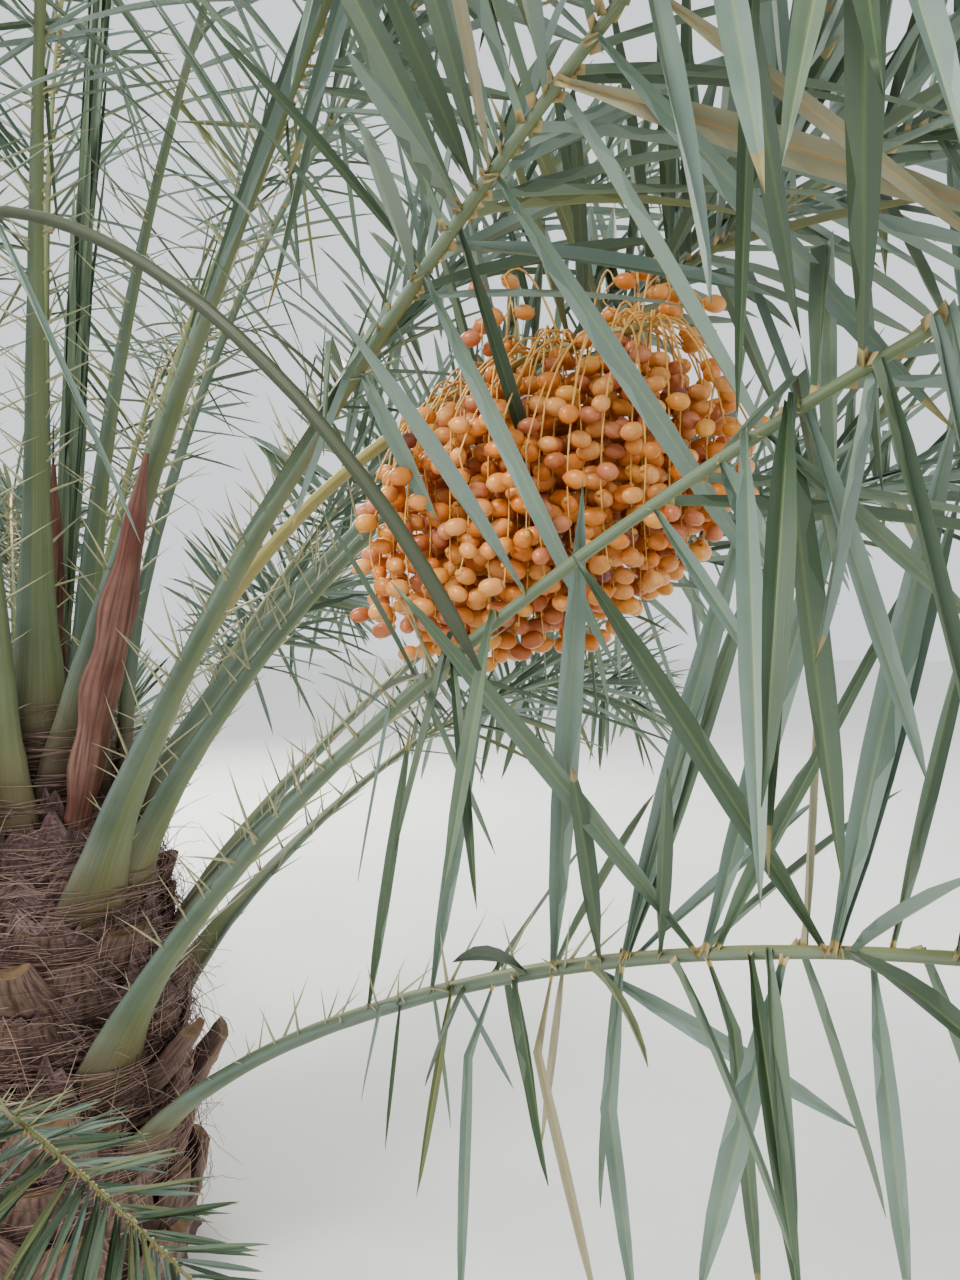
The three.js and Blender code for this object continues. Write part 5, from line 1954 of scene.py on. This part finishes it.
def make_cloths():
    """Collars of woven fibre round the feet of the fronds, ragged along the top."""
    surface = Surface()
    crumple = Noise(COLLAR_SEED, 0.11)
    ragged = Noise(COLLAR_SEED + 1, 0.035)
    angles = round_angles(COLLAR_COLUMNS)
    share = np.linspace(0, 1, COLLAR_ROWS)
    for foot, tall in COLLARS:
        rim = on_circles(1, angles, foot)
        height = tall * (COLLAR_TOPS[0] + COLLAR_TOPS[1] * ragged(rim * [0.2, 0.2, 1]))
        z = foot + share[:, None] * height[None]
        base = trunk_radius(np.minimum(z, HIGHEST_RADIUS)) + COLLAR_GAP
        base = base + COLLAR_FLARE * share[:, None] ** 1.5
        base = base + COLLAR_CRUMPLE * crumple(on_circles(base, angles, z))
        outer = on_circles(base, angles, z)
        inner = on_circles(base - COLLAR_THICKNESS, angles, z)
        surface.add_band(np.concatenate([outer, inner[::-1]]))
    on_palm(surface.make("fibre_cloth", [FIBRE_CLOTH]), "trunk_bark")


# Loose fibre: how many strands of each tone, points on each, and the share that wraps the trunk
FIBRE_COUNTS = {"dark": 900, "brown": 1500, "pale": 700}
FIBRE_POINTS = 6
FIBRE_SIDES = 3
WRAPPING_SHARE = 0.7
FIBRE_HEIGHTS = (0.04, 0.62, 0.95)
FIBRE_LENGTHS = (0.10, 0.36)
FIBRE_RADII = (0.0005, 0.0013)
FIBRE_DEPTHS = (0.012, 0.055)
FIBRE_WOBBLE = 0.004
# What the strands that wrap the trunk and the loose ends do: the share of the turn that they keep,
# how they rise and stand off, each as a middle and a spread or a range, and how far they sag
FIBRE_TURNS = (1, 0.25)
WRAP_RISE, END_RISE = (0.02, 0.03), (-0.02, 0.08)
WRAP_STAND, END_STAND = (0.004, 0.012), (0.01, 0.09)
FIBRE_SAGS = (0.02, 0.08)


def make_fibres():
    """Loose fibre round the trunk: strands that wrap it, and ends that stand off or hang."""
    draw = np.random.default_rng(FIBRE_SEED)
    share = np.linspace(0, 1, FIBRE_POINTS)[None]
    for tone, amount in FIBRE_COUNTS.items():
        wraps = draw.random(amount) < WRAPPING_SHARE
        z = draw.triangular(*FIBRE_HEIGHTS, amount)
        angle = draw.uniform(0, 2 * np.pi, amount)
        reach = draw.uniform(*FIBRE_LENGTHS, amount)
        radius = trunk_radius(np.minimum(z, HIGHEST_RADIUS)) + draw.uniform(*FIBRE_DEPTHS, amount)
        sweep = np.where(wraps, *FIBRE_TURNS) * reach / radius * draw.choice([-1, 1], amount)
        rises = draw.normal(*WRAP_RISE, amount), draw.normal(*END_RISE, amount)
        rise = np.where(wraps, *rises)
        stands = draw.normal(*WRAP_STAND, amount), draw.uniform(*END_STAND, amount)
        stand = np.where(wraps, *stands)
        sag = np.where(wraps, *FIBRE_SAGS) * draw.random(amount)
        a = angle[:, None] + sweep[:, None] * share
        r = radius[:, None] + stand[:, None] * share
        height = z[:, None] + rise[:, None] * share - sag[:, None] * share**2
        wobble = FIBRE_WOBBLE * np.cumsum(draw.normal(size=(amount, FIBRE_POINTS)), axis=1)
        height = np.maximum(height + wobble, LOWEST_FIBRE)
        paths = on_circles(r + wobble, a, height)
        thickness = draw.uniform(*FIBRE_RADII, (amount, 1)) * np.linspace(1, 0.5, FIBRE_POINTS)
        threads = grow_threads(f"fibres_{tone}", paths, thickness, FIBRE_SIDES, FIBRE_TONES[tone])
        on_palm(threads, "trunk_bark")


# Strands over each frond's foot, the points on each, and where on the foot they cross
FOOT_STRANDS = 22
FOOT_STRAND_POINTS = 11
FOOT_STRAND_RADII = (0.0006, 0.0014)
CROSSED_FOOT = (0.02, 0.19)
# Half the length of a strand, half the width that it is lifted over, its air over the foot, and the
# depths of fibre under its ends
FOOT_STRAND_REACH = (0.10, 0.19)
LIFTED_WIDTH = 0.075
AIR_OVER_FOOT = 0.004
FIBRE_UNDER_ENDS = (0.012, 0.03)
# How the strands stray: in height, in angle, in and out, in slope, and how far their ends sag
FOOT_STRAND_STRAY = 0.006
FOOT_STRAND_TURN = 0.08
FOOT_STRAND_FUZZ = 0.003
FOOT_STRAND_SLOPE = 0.018
FOOT_STRAND_SAG = 0.03


def make_foot_wraps(fronds):
    """Strands of fibre that cross the outer face of each frond's foot and hold it to the trunk."""
    draw = np.random.default_rng(FOOT_FIBRE_SEED)
    share = np.linspace(-1, 1, FOOT_STRAND_POINTS)[None]
    one_each = (FOOT_STRANDS, 1)
    paths = []
    for frond in fronds:
        at = frond.at(draw.uniform(*CROSSED_FOOT, FOOT_STRANDS))
        outer = at.point - at.up * (at.thickness[:, None] / 2 + AIR_OVER_FOOT)
        height = outer[:, 2:] + draw.normal(0, FOOT_STRAND_STRAY, one_each)
        reach = np.hypot(outer[:, :1], outer[:, 1:2])
        wall = trunk_radius(np.minimum(height, HIGHEST_RADIUS))
        wall = wall + draw.uniform(*FIBRE_UNDER_ENDS, one_each)
        angle = np.radians(frond.azimuth) + draw.normal(0, FOOT_STRAND_TURN, one_each)
        spread = draw.uniform(*FOOT_STRAND_REACH, one_each) / wall
        over = np.exp(-((share * spread * wall / LIFTED_WIDTH) ** 4))
        r = wall + np.maximum(reach - wall, 0) * over
        r = r + FOOT_STRAND_FUZZ * draw.random((FOOT_STRANDS, FOOT_STRAND_POINTS))
        a = angle + spread * share
        slope = draw.normal(0, FOOT_STRAND_SLOPE, one_each) * share
        z = height + slope - FOOT_STRAND_SAG * share**2 * draw.random(one_each)
        z = np.maximum(z, LOWEST_FIBRE)
        paths.append(on_circles(r, a, z))
    paths = np.concatenate(paths)
    thickness = draw.uniform(*FOOT_STRAND_RADII, (len(paths), 1)) * np.ones(FOOT_STRAND_POINTS)
    threads = grow_threads("fibres_on_feet", paths, thickness, FIBRE_SIDES, FIBRE_TONES["brown"])
    on_palm(threads, "trunk_bark")


# Assembly

fronds = make_fronds()
spear = Limb(spear_size, **SPEAR)
spathes = [Limb(spathe_size(width), **sizes) for width, sizes in zip(SPATHE_WIDTHS, SPATHES)]
fruit = Limb(fruit_stalk_size, **FRUIT_STALK)

rods = Rods()
for number, frond in enumerate(fronds):
    rods.add_limb(TRUNK_OWNER, frond, 0, SHEATH_LENGTH, 3)
    rods.add_limb(number, frond, SHEATH_LENGTH, frond.length, 24)
rods.add_limb(SPEAR_OWNER, spear, 0, spear.length, 6)
for spathe in spathes:
    rods.add_limb(SPATHE_OWNER, spathe, 0, spathe.length, 7)
rods.add_limb(FRUIT_OWNER, fruit, 0, STRANDS_START * fruit.length, 10)

boots = []
for boot in make_boots():
    ends = boot.at(np.array([0, boot.length]))
    radii = ends.width / 2
    if rods.clear(TRUNK_OWNER, ends.point[:1], ends.point[1:], radii[:1], radii[1:])[0]:
        boots.append(boot)

make_trunk()
make_boots_piece(boots, "old_leaf_bases", OLD_BASE_SEED, flare=0.35)
make_boots_piece(make_stubs(rods), "worn_leaf_bases", WORN_BASE_SEED, flare=0.2)
make_cloths()
make_fibres()
make_foot_wraps(fronds)
for number, frond in enumerate(fronds):
    make_stalk_and_rib(frond, number)
make_spines(fronds, rods)
dates = make_fruit(fruit, rods)
rods.add_limb(FRUIT_OWNER, fruit, STRANDS_START * fruit.length, fruit.length, 4)
for centre in dates:
    rods.add(FRUIT_OWNER, np.array([centre, centre + [0, 0, 0.004]]), np.full(2, DATE_WIDTH / 2))
make_leaflets(fronds, rods)
make_spear(spear)
for number, spathe in enumerate(spathes):
    make_spathe(spathe, number)


# Floor, light and camera

FLOOR_RADIUS = 60
FLOOR_CORNERS = 96
LIT_PLACE = (0.3, -0.3, 1.2)
WORLD_COLOUR = (0.94, 0.97, 1.0, 1)
WORLD_STRENGTH = 0.9
# Lights: place, size, power and tint
LIGHTS = {
    "key": ((-3.5, -4.5, 6.5), 3.0, 620, (1.0, 0.97, 0.92)),
    "fill": ((6.0, -3.0, 3.5), 5.0, 160, (0.93, 0.97, 1.0)),
    "back": ((-2.5, 6.0, 5.5), 4.0, 520, (1.0, 0.98, 0.96)),
}


def make_floor():
    material, tree, shader = new_material("pale_floor", 0.9, specular=0.2)
    pale, paler = (234, 233, 229), (240, 239, 235)
    made = patched_colours(tree, paler, pale, scale=1.5, amount=0.5, mottle=0.02)
    tree.links.new(made["Colour"], shader.inputs["Base Color"])
    rim = on_circles(FLOOR_RADIUS, round_angles(FLOOR_CORNERS), 0)
    mesh = bpy.data.meshes.new("floor")
    mesh.from_pydata(rim.tolist(), [], [list(range(FLOOR_CORNERS))])
    mesh.materials.append(material)
    add_object("floor", mesh)


def make_light(name, place, size, power, tint):
    light = bpy.data.lights.new(name, "AREA")
    light.shape = "DISK"
    light.size = size
    light.energy = power
    light.color = tint
    item = add_object(name, light)
    item.location = place
    direction = np.array(LIT_PLACE) - np.array(place)
    item.rotation_euler = Vector(direction).to_track_quat("-Z", "Y").to_euler()


def make_world():
    world = bpy.data.worlds.new("soft_studio")
    world.use_nodes = True
    background = world.node_tree.nodes["Background"]
    background.inputs["Color"].default_value = WORLD_COLOUR
    background.inputs["Strength"].default_value = WORLD_STRENGTH
    bpy.context.scene.world = world
    bpy.context.scene.view_settings.look = "AgX - Medium High Contrast"


def make_camera():
    data = bpy.data.cameras.new("camera")
    data.sensor_width = SENSOR
    data.lens = FOCAL_PIXELS * SENSOR / PHOTO_HEIGHT
    data.clip_start = 0.02
    data.clip_end = 200
    camera = add_object("camera", data)
    camera.location = CAMERA_PLACE
    camera.rotation_euler = (math.radians(90), 0, 0)
    bpy.context.scene.camera = camera


make_floor()
make_world()
for name, values in LIGHTS.items():
    make_light(name, *values)
make_camera()
